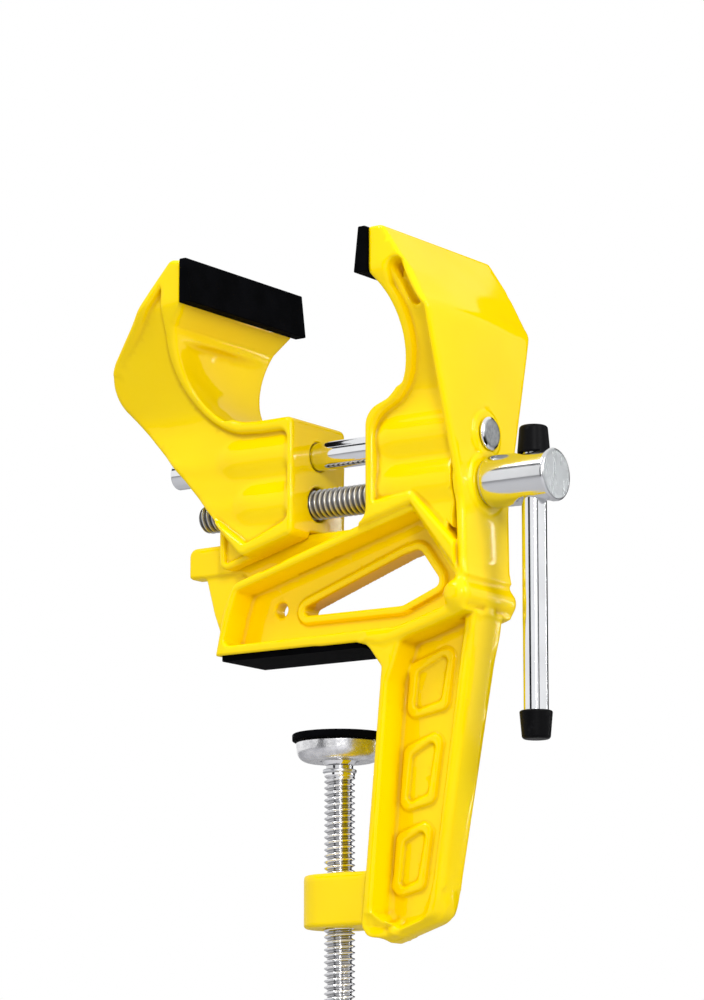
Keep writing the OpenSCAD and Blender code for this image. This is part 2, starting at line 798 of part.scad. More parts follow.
module lead_screw_head() {
    color(chrome_tone)
        translate([head_x, 0, screw_z])
            rotate([0, 90, 0])
                screw_head(screw_d);
}

module lead_head_pin() {
    color(steel_tone)
        translate([head_x + screw_in_head / 2, 0, screw_z])
            head_pin();
}

module thrust_washer() {
    color(steel_tone)
        tube_x(plate_seat_x + run_gap, head_x, screw_z, washer_d, screw_d + 2 * fit_gap);
}

module keeper_ring() {
    color(steel_tone)
        tube_x(column_x + pass_gap, column_x + pass_gap + ring_t, screw_z, ring_d, screw_d + 2 * fit_gap);
}

// Handles

// A bar along Z between two heights, with the stretch inside both caps.
module handle_bar(z0, z1, x, y) {
    translate([x, y, z0 + cap_wall])
        cylinder(h = z1 - z0 - 2 * cap_wall, d = bar_d);
}

// A cap standing on its inner end.
module bar_cap() {
    rounding = 0.9;
    difference() {
        rotate_extrude()
            polygon([[0, 0], [cap_d / 2, 0], [cap_end_d / 2, cap_length - rounding],
                     [cap_end_d / 2 - rounding, cap_length], [0, cap_length]]);
        translate([0, 0, -weld])
            cylinder(h = cap_length - cap_wall + weld + fit_gap, d = bar_d + 2 * fit_gap);
    }
}

module upper_bar() {
    color(chrome_tone)
        handle_bar(upper_bar_bottom, upper_bar_top, lead_bar_x, 0);
}

module upper_bar_top_cap() {
    color(black)
        translate([lead_bar_x, 0, upper_bar_top - cap_length])
            bar_cap();
}

module upper_bar_bottom_cap() {
    color(black)
        translate([lead_bar_x, 0, upper_bar_bottom + cap_length])
            mirror([0, 0, 1])
                bar_cap();
}

module lower_bar() {
    color(chrome_tone)
        translate([-clamp_x, 0, lower_bar_z])
            rotate([90, 0, 0])
                handle_bar(-bar_length / 2, bar_length / 2, 0, 0);
}

module lower_bar_cap() {
    translate([0, bar_length / 2 - cap_length, 0])
        rotate([-90, 0, 0])
            bar_cap();
}

module lower_bar_right_cap() {
    color(black)
        translate([-clamp_x, 0, lower_bar_z])
            lower_bar_cap();
}

module lower_bar_left_cap() {
    color(black)
        translate([-clamp_x, 0, lower_bar_z])
            mirror([0, 1, 0])
                lower_bar_cap();
}

// Table clamp

module clamp_screw() {
    color(steel_tone)
        translate([-clamp_x, 0, 0])
            difference() {
                union() {
                    bar_z(clamp_head_top - screw_in_head, ball_washer_z - fit_gap, 0, clamp_d);
                    bar_z(ball_washer_z - weld, ball_z, 0, neck_d);
                    intersection() {
                        translate([0, 0, ball_z])
                            sphere(d = ball_d);
                        bar_z(swivel_bottom - ball_d, swivel_top - ball_top_gap, 0, 2 * ball_d);
                    }
                }
                translate([0, 0, clamp_head_top - screw_in_head / 2])
                    rotate([90, 0, 0])
                        cylinder(h = 2 * head_d, d = pin_d + 2 * fit_gap, center = true);
            }
}

module clamp_screw_head() {
    color(chrome_tone)
        translate([-clamp_x, 0, clamp_head_top])
            rotate([0, 180, 90])
                screw_head(clamp_d);
}

module clamp_head_pin() {
    color(steel_tone)
        translate([-clamp_x, 0, clamp_head_top - screw_in_head / 2])
            rotate([90, 0, 0])
                head_pin();
}

module ball_washer() {
    color(steel_tone)
        translate([-clamp_x, 0, ball_washer_z])
            difference() {
                cylinder(h = ball_washer_t, d = ball_washer_d);
                translate([0, 0, -weld])
                    cylinder(h = ball_washer_t + 2 * weld, d = neck_d + 2 * run_gap);
            }
}

// The swivel cap: straight side, rounded bottom, and a ball socket with a flared mouth.
module swivel_cap() {
    bottom_r = 11;
    socket_mouth_d = ball_d - 0.8;
    color(chrome_tone)
        translate([-clamp_x, 0, swivel_top])
            difference() {
                rotate_extrude()
                    polygon(rounded([[0, 0], [swivel_d / 2, 0, 0.6], [swivel_d / 2, -swivel_side, 2.5],
                                     [bottom_r, -swivel_h, 2], [0, -swivel_h]]));
                translate([0, 0, ball_z - swivel_top])
                    sphere(d = ball_d + 2 * run_gap);
                translate([0, 0, -swivel_h - weld])
                    cylinder(h = swivel_h + weld + ball_z - swivel_top, d = socket_mouth_d);
            }
}

module clamp_disc() {
    lip = 0.5;
    color(black)
        translate([-clamp_x, 0, swivel_top])
            rotate_extrude()
                polygon([[0, 0], [disc_d / 2 - lip, 0], [disc_d / 2, lip], [disc_d / 2, disc_t - lip],
                         [disc_d / 2 - lip, disc_t], [0, disc_t]]);
}

at_foot() frame_casting();
at_foot() foot_pad();
at_foot() fixed_jaw_pad();
at_foot() guide_rod();
at_foot() sliding_jaw();
at_foot() sliding_jaw_pad();
at_foot() jaw_nut();
at_foot() front_bush();
at_foot() rear_bush();
at_foot() lead_screw();
at_foot() lead_screw_head();
at_foot() lead_head_pin();
at_foot() thrust_washer();
at_foot() keeper_ring();
at_foot() upper_bar();
at_foot() upper_bar_top_cap();
at_foot() upper_bar_bottom_cap();
at_foot() clamp_screw();
at_foot() clamp_screw_head();
at_foot() clamp_head_pin();
at_foot() lower_bar();
at_foot() lower_bar_left_cap();
at_foot() lower_bar_right_cap();
at_foot() ball_washer();
at_foot() swivel_cap();
at_foot() clamp_disc();
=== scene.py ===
"""Ski tuning vise in its studio: cast jaws, frame and leg, turned steel and rubber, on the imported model.

Sizes in the shape functions are millimetres. X is counted from the table's front edge, Y from the mid-plane
and Z from the table's top, as in the part's source. in_frame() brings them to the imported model's frame.
"""
import functools

import bpy
import numpy as np
import openvdb
from mathutils import Euler, Matrix, Vector
from numpy.linalg import norm


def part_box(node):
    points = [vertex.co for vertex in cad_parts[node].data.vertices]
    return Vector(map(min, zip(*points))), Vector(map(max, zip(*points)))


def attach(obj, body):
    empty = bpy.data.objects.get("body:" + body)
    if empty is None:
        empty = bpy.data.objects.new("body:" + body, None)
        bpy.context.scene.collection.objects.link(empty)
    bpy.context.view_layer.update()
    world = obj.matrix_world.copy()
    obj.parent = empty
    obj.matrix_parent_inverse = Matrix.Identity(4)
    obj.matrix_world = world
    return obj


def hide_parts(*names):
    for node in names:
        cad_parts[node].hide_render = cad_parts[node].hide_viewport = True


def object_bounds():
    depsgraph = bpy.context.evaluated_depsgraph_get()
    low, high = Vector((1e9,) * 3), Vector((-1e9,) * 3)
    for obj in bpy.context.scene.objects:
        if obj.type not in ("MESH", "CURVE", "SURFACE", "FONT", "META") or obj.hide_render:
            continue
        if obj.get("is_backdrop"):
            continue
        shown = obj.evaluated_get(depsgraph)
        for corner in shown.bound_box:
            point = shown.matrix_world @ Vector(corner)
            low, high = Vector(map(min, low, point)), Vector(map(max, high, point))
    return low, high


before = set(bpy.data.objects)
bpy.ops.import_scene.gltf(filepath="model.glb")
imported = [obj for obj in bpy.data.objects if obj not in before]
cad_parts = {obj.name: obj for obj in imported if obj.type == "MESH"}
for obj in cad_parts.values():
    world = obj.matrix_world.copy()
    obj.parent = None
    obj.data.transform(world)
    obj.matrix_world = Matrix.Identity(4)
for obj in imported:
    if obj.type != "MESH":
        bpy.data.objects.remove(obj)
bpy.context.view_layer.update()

MM = 0.001
X, Y, Z = range(3)
# the foot's middle, where the origin is, lies this far behind the table's edge
EDGE_X = 30.0


def in_frame(points):
    """Millimetres from the table's edge, brought to metres from the foot's middle."""
    return (np.asarray(points) + [EDGE_X, 0, 0]) * MM


def box_of(node):
    """A node's lowest and highest corners, in millimetres from the table's edge."""
    return [np.array(corner) / MM - [EDGE_X, 0, 0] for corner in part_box(node)]


def span(node, axis):
    """A node's start and length along an axis."""
    low, high = box_of(node)
    return low[axis], high[axis] - low[axis]


def unit(v):
    """The vector of length 1 that points the same way."""
    return v / norm(v)


def rise(value, low, high):
    """0 at low, 1 at high, straight between them and level outside. Where high is the smaller, it falls."""
    return np.clip((value - low) / (high - low), 0, 1)


# Outlines

# the radius of a corner that is given none
SHARP = 0.05


def half_angle(a, c):
    """Half the angle between two edges that leave a corner."""
    return np.arccos(np.clip(a @ c, -0.9999999, 0.9999999)) / 2


def rounded(points, closed=True):
    """Outline with round corners and its outward normals, as rows of (u, v, normal u, normal v).
    Each point is (u, v, radius). A corner is an arc of that radius between its two edges, in steps of at most
    6 degrees, and both radii at an edge give way in proportion where they ask for more than its length."""
    radii = [(*p, SHARP)[2] for p in points]
    place = np.array([p[:2] for p in points], float)
    n = len(points)
    open_ends = () if closed else (0, n - 1)
    back, ahead = np.roll(place, 1, 0) - place, np.roll(place, -1, 0) - place
    reaches = [0 if i in open_ends else radii[i] / np.tan(half_angle(unit(back[i]), unit(ahead[i])))
               for i in range(n)]
    rows = []
    for i, p in enumerate(place):
        if i in open_ends:
            along = unit(ahead[i]) if i == 0 else unit(-back[i])
            rows.append([*p, -along[1], along[0]])
            continue
        room = min(norm(back[i]) / max(1e-3, reaches[i - 1] + reaches[i]),
                   norm(ahead[i]) / max(1e-3, reaches[(i + 1) % n] + reaches[i]))
        radius = radii[i] * min(1, 0.98 * room)
        a, c = unit(back[i]), unit(ahead[i])
        half = half_angle(a, c)
        if half > np.pi / 2 - 0.004:
            rows.append([*p, a[1], -a[0]])
            continue
        middle = p + unit(a + c) * radius / np.sin(half)
        start, end = p + a * radius / np.tan(half) - middle, p + c * radius / np.tan(half) - middle
        turn = np.arctan2(start[0] * end[1] - start[1] * end[0], start @ end)
        angles = np.linspace(0, turn, max(2, int(np.ceil(abs(np.degrees(turn)) / 6)) + 1))
        arm = np.outer(np.cos(angles), start) + np.outer(np.sin(angles), [-start[1], start[0]])
        outward = arm / radius * (1 if turn < 0 else -1)
        rows += np.hstack([middle + arm, outward]).tolist()
    return np.array(rows)


def arc(middle, r, first, last):
    """Points on an arc between two angles in degrees, about 3 degrees apart, as outline corners."""
    a = np.radians(np.linspace(first, last, int(abs(last - first) / 3) + 2))
    return [(middle[0] + r * np.cos(t), middle[1] + r * np.sin(t)) for t in a]


def grown(points, margin):
    """A clockwise outline moved outwards by a margin, edge by edge, with its radii grown by as much."""
    p = np.array([q[:2] for q in points], float)
    before, after = np.roll(p, 1, 0), np.roll(p, -1, 0)
    u = (p - before) / norm(p - before, axis=1)[:, None]
    v = (after - p) / norm(after - p, axis=1)[:, None]
    out = np.stack([-u[:, 1] - v[:, 1], u[:, 0] + v[:, 0]], 1) / (1 + (u * v).sum(1))[:, None]
    return [(*m, q[2] + margin) for m, q in zip(p + margin * out, points)]


# Shapes as distance fields on a regular grid, negative inside the shape

def round_both(a, b, r):
    """Where both shapes are, with their common edge rounded to radius r."""
    return np.minimum(-r, np.maximum(a, b)) + np.hypot(np.maximum(a + r, 0), np.maximum(b + r, 0))


def round_either(a, b, r):
    """Where either shape is, with the inner corner between them filled to radius r."""
    return np.maximum(r, np.minimum(a, b)) - np.hypot(np.maximum(r - a, 0), np.maximum(r - b, 0))


def both(*shapes):
    """Where all the shapes are, with sharp edges."""
    return functools.reduce(np.maximum, shapes)


def less(body, cuts):
    """A body less its cuts, each of them a shape and the radius of its edge."""
    for cut, r in cuts:
        body = round_both(body, -cut, r)
    return body


def outline_distance(points, u, v):
    """Signed distance from a grid to a closed outline: the least distance to any edge,
    and negative where a level line to the right crosses an odd number of edges."""
    corners = rounded(points)[:, :2]
    corners = corners[norm(corners - np.roll(corners, 1, 0), axis=1) > 1e-6]
    u, v = u[:, None].astype(np.float32), v[None, :].astype(np.float32)
    least = np.full((u.size, v.size), 1e9, np.float32)
    inside = np.zeros(least.shape, bool)
    for a, b in zip(corners.astype(np.float32), np.roll(corners, -1, 0).astype(np.float32)):
        edge = b - a
        t = np.clip(((u - a[0]) * edge[0] + (v - a[1]) * edge[1]) / (edge @ edge), 0, 1)
        least = np.minimum(least, (u - a[0] - t * edge[0]) ** 2 + (v - a[1] - t * edge[1]) ** 2)
        if a[1] != b[1]:
            inside ^= ((a[1] > v) != (b[1] > v)) & (u < a[0] + (v - a[1]) * edge[0] / edge[1])
    return np.where(inside, -1, 1).astype(np.float32) * np.sqrt(least)


class Block:
    """The points of a regular grid between two corners, for shapes that are the same on both sides of Y = 0.
    Each method gives the distance to a shape."""

    def __init__(self, low, high, step):
        self.axes = [np.arange(a, b + step, step, dtype=np.float32) for a, b in zip(low, high)]
        self.x, self.y, self.z = np.meshgrid(*self.axes, indexing="ij", sparse=True)

    def side(self, points):
        """An outline in X and Z, carried along Y."""
        return outline_distance(points, self.axes[X], self.axes[Z])[:, None, :]

    def end(self, stations):
        """A symmetric outline in Y and Z, given by half widths over the height, carried along X."""
        mirrored = [(-s[0], *s[1:]) for s in stations]
        return outline_distance(mirrored + stations[::-1], self.axes[Y], self.axes[Z])[None, :, :]

    def plate(self, half):
        """The plate between Y = -half and Y = half."""
        return self.y - half

    def bar(self, axis, first, second, r):
        """A round bar along an axis, at a place given by the two other coordinates."""
        a, b = (v for i, v in enumerate((self.x, self.y, self.z)) if i != axis)
        return np.hypot(a - first, b - second) - r

    def between(self, axis, low, high):
        """The space between two planes across an axis."""
        return np.abs((self.x, self.y, self.z)[axis] - (low + high) / 2) - (high - low) / 2


# Sizes that the castings share with the pieces on them

JAW_HALF, JAW_TOP_HALF = 15.5, 31.5
FLARE_Z, JAW_FLARE = 82, 0.444
PAD_Z, PAD_TOP = 117.5, 132.5
MOUTH_R = 24.5
RIM_W, RIM_H = 3.4, 2.6
PLATE_X, PLATE_T, PLATE_LEAN, LEAN_Z = 38.8, 3.0, 0.021, 25
PLATE_HALF, PLATE_FLARE_Z, PLATE_FLARE = 13.8, 45, 0.29
SEAT_H = 1.0
ROD_Z, ROD_R = 67.0, 4.7
SCREW_Z, SCREW_R, PITCH, THREAD_DEPTH = 51.0, 5.0, 2.0, 1.1
BEAM_Z, BEAM_SLOPE = 40.5, 0.287
FLANGE_HALF, FLANGE_T, WEB_HALF = 13.5, 3.0, 3.0
FOOT_LENGTH, FOOT_LIFT = 60.0, 1.5
BAND_HALF, BAND_T, BAND_SPREAD = 8.3, 4.0, 0.025
LUG_R, CLAMP_X = 11.5, -19.1
FIXED_SEAT_X, SLIDING_SEAT_X = 13.8, -61.0
COLUMN_X, ROOF_X, BEND_Z = 1.3, 19.4, 105.3
FIXED_MOUTH = (FIXED_SEAT_X - 17.5, 100)
PLATE_SEAT_X = PLATE_X - PLATE_LEAN * (SCREW_Z - LEAN_Z) + SEAT_H


def plate_face(z):
    """The outer plate's face over the height: upright up to LEAN_Z, then leaning inwards."""
    return PLATE_X - PLATE_LEAN * max(0, z - LEAN_Z)


def beam_top(x):
    """The height of the beam's top edge, a slanted line."""
    return BEAM_Z + BEAM_SLOPE * x


def leg_left(z):
    """The leg's left side over the height, a straight line."""
    return 6.1 + 0.0934 * (z + 6.9)


def leg_right(z):
    """The leg's right side over the height, a straight line."""
    return PLATE_X - 0.8 + 0.176 * z


def jaw_stations(inset):
    """Half widths of the jaws over their height, less an inset."""
    bend = FLARE_Z + (JAW_TOP_HALF - JAW_HALF) / JAW_FLARE
    return [(JAW_HALF - inset, -200), (JAW_HALF - inset, FLARE_Z, 22), (JAW_TOP_HALF - inset, bend, 8),
            (JAW_TOP_HALF - inset, PAD_TOP + 60)]


def plate_stations():
    """Half widths of the outer plate over its height."""
    bend = PLATE_FLARE_Z + (JAW_TOP_HALF - PLATE_HALF) / PLATE_FLARE
    return [(PLATE_HALF, -200), (PLATE_HALF, PLATE_FLARE_Z, 30), (JAW_TOP_HALF, bend, 12),
            (JAW_TOP_HALF - 2.4, PAD_TOP + 6), (JAW_TOP_HALF - 2.4, PAD_TOP + 60)]


# Outlines of the frame, seen from the side

APEX = (18.5, beam_top(18.5))
WINDOW = [(-32, 13.8, 1.4), (-29.6, 16.6, 1.4), (8.4, 29.9, 3), (15.2, 31.4, 3), (23.6, 19.6, 2.2),
          (8.2, 13.7, 6)]
RAIL_BEAD = [(-90, 30.3), (-90, 40.8, 1), (COLUMN_X + 1, 43), (COLUMN_X + 1, 40.4), (-50, 26), (-56, 30.3)]
RAIL = [(-78, 30.3, 1), (-78, 40.8, 3), (COLUMN_X + 1, 40.8), (COLUMN_X + 1, 30.3)]
WEB_END = [(-FOOT_LENGTH - 2, FOOT_LIFT), (-68.4, 18), (-72, 31.3), (-40, 31.3), (-50, FOOT_LIFT)]

# where the column stands on the beam
ABOVE_BEAM = [(-60, 170), (70, 170), (70, 20), (PLATE_X - 2, 20), (APEX[0], APEX[1] - 1.5),
              (-60, beam_top(-60))]

# the outer plate, which reaches past the roof
PLATE_SIDE = [(PLATE_X - PLATE_T, 12), (PLATE_X - PLATE_T, LEAN_Z),
              (plate_face(BEND_Z) - PLATE_T, BEND_Z - 1.5), (ROOF_X - 4, PAD_TOP),
              (ROOF_X - 4, PAD_TOP + 9), (60, PAD_TOP + 9), (60, 12)]

# the deep end of the recess between the mouth's bead and the outer plate
PIT = [(ROOF_X + 1.5, PAD_Z + 4, 2), (ROOF_X + 6, PAD_Z + 3, 2), (ROOF_X + 11, 108, 3), (ROOF_X + 7, 106, 2)]

# the side of the pocket next to the outer plate, where it is deeper
SLIT_SIDE = [(ROOF_X + 1, 123), (ROOF_X + 8, 124), (46, 104), (46, 30), (PLATE_X - 7, 30),
             (PLATE_X - 10, 100)]

# the leg's rings: top, bottom, distances from the leg's two sides, rise of the top and bottom edges
LEG_RINGS = [(-5.6, -23.4, 5, 8.4, 5.6, 2.6), (-32.2, -53, 5, 8.4, 5.2, 2.8),
             (-59.6, -80, 4.6, 7.6, 4.4, 2.6)]
RING_W = 2.6

# the frame's upright part, from the beam up to the fixed jaw
UPRIGHT = [(COLUMN_X, beam_top(COLUMN_X) - 4), (COLUMN_X, 76.5, 7), *arc(FIXED_MOUTH, MOUTH_R, -56, 40),
           (FIXED_SEAT_X, PAD_Z, 1.5), (FIXED_SEAT_X, PAD_TOP, 0.8), (ROOF_X, PAD_TOP, 3),
           (plate_face(BEND_Z), BEND_Z, 9), (plate_face(34), 34), (PLATE_X, 20), (PLATE_X - 2, 20),
           (APEX[0], APEX[1] - 4)]

# the recessed side of the upright part
UPRIGHT_POCKET = [(COLUMN_X + RIM_W, 47), (COLUMN_X + RIM_W, 73.5, 8),
                  *arc(FIXED_MOUTH, MOUTH_R + RIM_W, -50, 28), (ROOF_X + 1.5, PAD_Z + 3, 3),
                  (ROOF_X + 7, PAD_Z + 3, 3), (plate_face(BEND_Z) - PLATE_T - 0.6, BEND_Z - 2, 5),
                  (plate_face(34) - PLATE_T, 30), (33, 33, 2), (19, 48.5, 3)]

# the beam from the foot up to the column, whose bottom frame_field cuts level
BEAM = [(-FOOT_LENGTH - 0.6, -5), (-FOOT_LENGTH, FOOT_LIFT), (-FOOT_LENGTH + 3.1, 15.9),
        (-52.9, beam_top(-52.9), 4.5), (*APEX, 4), (PLATE_X - 1, 19.5), (PLATE_X - 1, 9), (25, 4.6),
        (14, 1.8, 6), (4, FOOT_LIFT), (0, -5)]

# the recess between the beam's flanges
BEAM_POCKET = [(-FOOT_LENGTH + FLANGE_T, FOOT_LIFT + FLANGE_T + 0.5, 2),
               (-FOOT_LENGTH + FLANGE_T + 2.8, 15.3), (-51.5, beam_top(-51.5) - FLANGE_T, 2),
               (APEX[0] + 0.4, APEX[1] - FLANGE_T - 0.4, 2.5), (PLATE_X - 2.4, 17, 1),
               (PLATE_X - 2.4, 12.3, 1), (25, 9.0), (13, 5.6, 8)]

# the rounded rib that climbs from the foot to the outer plate
BELT = [(-2, FOOT_LIFT + 0.1), (0.5, FOOT_LIFT + FLANGE_T), (9, FOOT_LIFT + FLANGE_T, 8), (25, 9.0),
        (PLATE_X - 2, 12.6), (PLATE_X, 13), (PLATE_X, 8.4), (25, 4.3), (12, 0.6, 8), (6, -0.5)]

# the leg, with the thin strip under its side bead
LEG = [(4, FOOT_LIFT + 1), (0, FOOT_LIFT, 0.8), (6.1, -6.9, 1.5), (leg_left(-88.8), -88.8), (0, -92.8, 2.5),
       (1.6, -92.8), (2.8, -94, 0.8), (23.2, -87.4, 6), (leg_right(-74), -74), (leg_right(6), 9)]

# everything above the lower edge of the leg's side bead
ABOVE_LEG_FOOT = [(-40, 30), (-40, -92.9), (1, -92.9), (3, -92.4, 1), (21.6, -86.4, 4), (24.2, -79),
                  (60, -70), (60, 30)]

# everything on the outer side of the leg's left flange and bottom edge
LEG_FLANGE_SIDE = [(9, FOOT_LIFT + 1), (-8, 8), (-30, -6), (-30, -110), (5.5, -110), (6.5, -88),
                   (4.5, -87.6, 2), (leg_left(-84) + 3.4, -84.5, 2), (leg_left(-12) + 3, -12),
                   (leg_left(-6) + 5, -5.5, 4), (14, FOOT_LIFT + 1)]

# everything on the outer side of the leg's right band
LEG_BAND_SIDE = [(2, -91.4), (17.6, -86.4, 5), (leg_right(-74) - BAND_T, -74), (leg_right(6) - BAND_T, 9),
                 (60, 9), (60, -110), (2, -110)]


def leg_ring(top, bottom, left_pad, right_pad, top_slant, bottom_slant):
    """The outer and inner outlines of a ring raised on the leg's web, along the leg's slanting sides."""
    outer = np.array([(leg_left(top) + left_pad, top), (leg_right(top) - right_pad, top + top_slant),
                      (leg_right(bottom) - right_pad, bottom + bottom_slant),
                      (leg_left(bottom) + left_pad, bottom)])
    inner = outer - np.sign(outer - outer.mean(0)) * RING_W
    return [(*p, 3.2) for p in outer], [(*p, 1.8) for p in inner]


# Forms that both castings have

def swollen(block, core, region, starts):
    """A core with a soft round swelling over each bore, which sinks into the side towards its start."""
    swellings = []
    for z, start in zip((ROD_Z, SCREW_Z), starts):
        sink = 3 * rise(block.x, start + 9, start) ** 2
        swellings.append(both(block.bar(X, JAW_HALF - 6.2, z, 5.0) + sink, region))
    return round_either(core, np.minimum(*swellings), 4)


def dish(block, middle, first, last):
    """The mouth's shallow dish: a round bar along Y, thickest halfway, within a sector of the mouth."""
    depth = 2.6 - 3.2 * (block.y / 24) ** 2
    sector = block.side([*arc(middle, MOUTH_R + 8, first, last), middle])
    return round_both(block.bar(Y, *middle, MOUTH_R) - depth, sector, 3)


# The frame casting

def frame_web(block):
    """The thin web of beam and leg, with the window's bead, the leg's rings and the rail's bead."""
    side, plate = block.side, block.plate
    bead = round_both(side(grown(WINDOW, 2.8)), plate(WEB_HALF + 1.4), 0.7)
    web = round_either(plate(WEB_HALF), bead, 0.9)
    for ring in LEG_RINGS:
        outer, inner = leg_ring(*ring)
        wall = round_both(side(outer), -side(inner), 0.5)
        web = round_either(web, round_both(wall, plate(WEB_HALF + 1.2), 0.6), 0.8)
    return round_either(web, round_both(side(RAIL_BEAD), plate(4), 1.0), 0.8)


def frame_low(block, beam, belt):
    """The web with the flanges, the belt and the leg's band, which flow together more at the leg's foot."""
    side, plate = block.side, block.plate
    above_foot = side(ABOVE_LEG_FOOT)
    left_flange = both(side(LEG_FLANGE_SIDE), block.z - 2.5, above_foot)
    flanges = round_either(both(beam, -side(BEAM_POCKET)), left_flange, 2)
    taper = 6 * rise(block.x, -1, 4.5) * rise(block.z, -85, -89)
    raised = round_both(flanges, plate(FLANGE_HALF) + taper, 1.1)
    raised = round_either(raised, round_both(belt, plate(FLANGE_HALF + 0.6), 2.0), 0.8)
    band_edge = round_both(both(side(LEG_BAND_SIDE), block.z - 9), above_foot, 1.2)
    band = round_both(band_edge, plate(BAND_HALF) - block.z * BAND_SPREAD, 1.4)
    low_end = rise(block.z, -72, -82)
    low = round_either(frame_web(block), raised, 1.6 + 1.2 * low_end)
    return round_either(low, band, 0.7 + 2.0 * low_end)


def frame_high(block, upright):
    """The column and fixed jaw: a core with a slit beside the outer plate, a rim round it and the plate."""
    side, end = block.side, block.end
    region = both(upright - 3, side(ABOVE_BEAM))
    pocket = side(UPRIGHT_POCKET)
    core = swollen(block, both(region, end(jaw_stations(RIM_H))), region, (4, 4))
    slit_width = 1.1 + 0.8 * rise(block.z, 44, 39) + 1.3 * rise(block.z, 104, 118)
    slit = both(pocket, -pocket - slit_width, side(SLIT_SIDE))
    core = round_both(core, -both(slit, -end(jaw_stations(RIM_H + 4))), 0.4)
    rim = round_both(both(region, -pocket), end(jaw_stations(0)), 1.6)
    rim = both(rim, block.x - (plate_face(BEND_Z) - PLATE_T + 1))
    outer_plate = round_both(side(PLATE_SIDE), end(plate_stations()), 1.6)
    return round_either(core, np.minimum(rim, outer_plate), 1.2)


def frame_silhouette(block, beam, belt, upright):
    """The whole frame from the side, with the inner corners between its parts filled."""
    rail = round_either(block.side(RAIL), block.side(WEB_END), 1.5)
    outline = np.minimum(round_either(upright, beam, 3.5), rail)
    return round_either(np.minimum(outline, block.side(LEG)), belt, 1.6)


def frame_field(block):
    """The frame casting. Each side is a relief of flat heights, blended into each other, within one
    silhouette whose edges are rounded. The bump, the round seats, the lug and the cuts follow."""
    side, plate, bar, between = block.side, block.plate, block.bar, block.between
    beam = both(side(BEAM), FOOT_LIFT - block.z)
    belt, upright = side(BELT), side(UPRIGHT)
    relief = round_either(frame_low(block, beam, belt), frame_high(block, upright), 1.2)
    plate_edge = 0.9 * rise(block.x, 26, 32) * rise(block.z, 4, 12)
    leg_edge = 1.2 * rise(block.x, 14, 20) * rise(block.z, 2, -6) * rise(block.z, -84, -78)
    crown = rise(block.x, 30, 34) * block.y ** 2 / 800
    silhouette = frame_silhouette(block, beam, belt, upright) + crown
    body = round_both(relief, silhouette, 1.1 + plate_edge + leg_edge)
    bump = round_both(bar(Y, PLATE_X - 3.4, 13.8, 4.8), plate(FLANGE_HALF + 2.8), 3.6)
    body = round_either(body, bump, 2)
    for z, r in ((SCREW_Z, 10), (ROD_Z, 7.5)):
        seat = round_both(bar(X, 0, z, r), between(X, PLATE_X - PLATE_T, PLATE_SEAT_X - 0.5), 0.3)
        body = round_either(body, seat, 1.6)
    bridge = both(between(X, CLAMP_X, leg_left(-80) + 1), plate(LUG_R))
    lug = np.minimum(bar(Z, CLAMP_X, 0, LUG_R), bridge)
    body = round_either(body, round_both(lug, between(Z, -88.4, -71.3), 1.2), 1.8)
    pad_room = both(between(X, -58.4, -1.6), plate(12.4))
    behind_column = -block.x - 20
    return less(body, [
        (side(WINDOW), 0.8), (bar(Y, -40.5, 16.8, 2.5), 0.7),
        (both(pad_room, between(Z, -12, 3.02)), 0.3),
        (both(bar(X, 0, ROD_Z, ROD_R + 0.02), behind_column), 0.3),
        (both(bar(X, 0, SCREW_Z, SCREW_R + 0.05), behind_column), 0.3),
        (both(bar(X, 0, SCREW_Z, 7.4), between(X, -5, COLUMN_X + 2)), 0.4),
        (both(bar(Z, CLAMP_X, 0, SCREW_R + 0.05), block.z + 60), 0.5),
        (round_both(side(PIT), -block.end(jaw_stations(RIM_H + 3)), 2), 1),
        (dish(block, FIXED_MOUTH, -44, 30), 1)])


# The sliding jaw, with X counted from its pad seat

JAW_FACE, JAW_WALL = 33.5, 4
SLIDING_MOUTH = (17.7, 103)


def jaw_under(x):
    """The height of the jaw's underside, a line 7 above the beam's top."""
    return beam_top(SLIDING_SEAT_X) + 7 + BEAM_SLOPE * x


# the jaw from the side
JAW = [(JAW_FACE, jaw_under(JAW_FACE), 2.5), (JAW_FACE, 78.6, 2.6), (18.6, 78.5),
       *arc(SLIDING_MOUTH, MOUTH_R, 262, 160), (0, PAD_Z, 1.5), (0, PAD_TOP, 0.8),
       (-5.4, PAD_TOP + 0.8, 2.5), (-23, 114.4, 40), (-43.2, 96.3, 11.8), (12.3, jaw_under(12.3), 4)]

# the recessed side within the bead
JAW_BEAD_X = JAW_FACE - RIM_W + 0.8
JAW_POCKET = [(JAW_BEAD_X, jaw_under(JAW_FACE) + 5, 3), (JAW_BEAD_X, 74.4, 3), (20.4, 74.4, 6),
              *arc(SLIDING_MOUTH, MOUTH_R + RIM_W + 0.6, 258, 168), (-9.2, 126, 3), (-13.4, 126, 3),
              (-30, 114), (-52, 98), (-36, 82), (-5, 52, 8), (14, jaw_under(14) + 4, 2.5)]


def jaw_cheeks(block):
    """The two cheeks that hang over the rail, each with a bead along its edge."""
    cheek = block.side([(-0.1, jaw_under(3.4) + 0.4, 3), (-0.1, 50), (14, 62), (JAW_FACE - 1, 46),
                        (JAW_FACE - 1, jaw_under(JAW_FACE - 1)), (3.4, jaw_under(3.4))])
    flat = round_both(cheek, block.plate(8.6), 0.8)
    return np.minimum(flat, round_both(both(cheek, -cheek - 2.4), block.plate(10), 1.1))


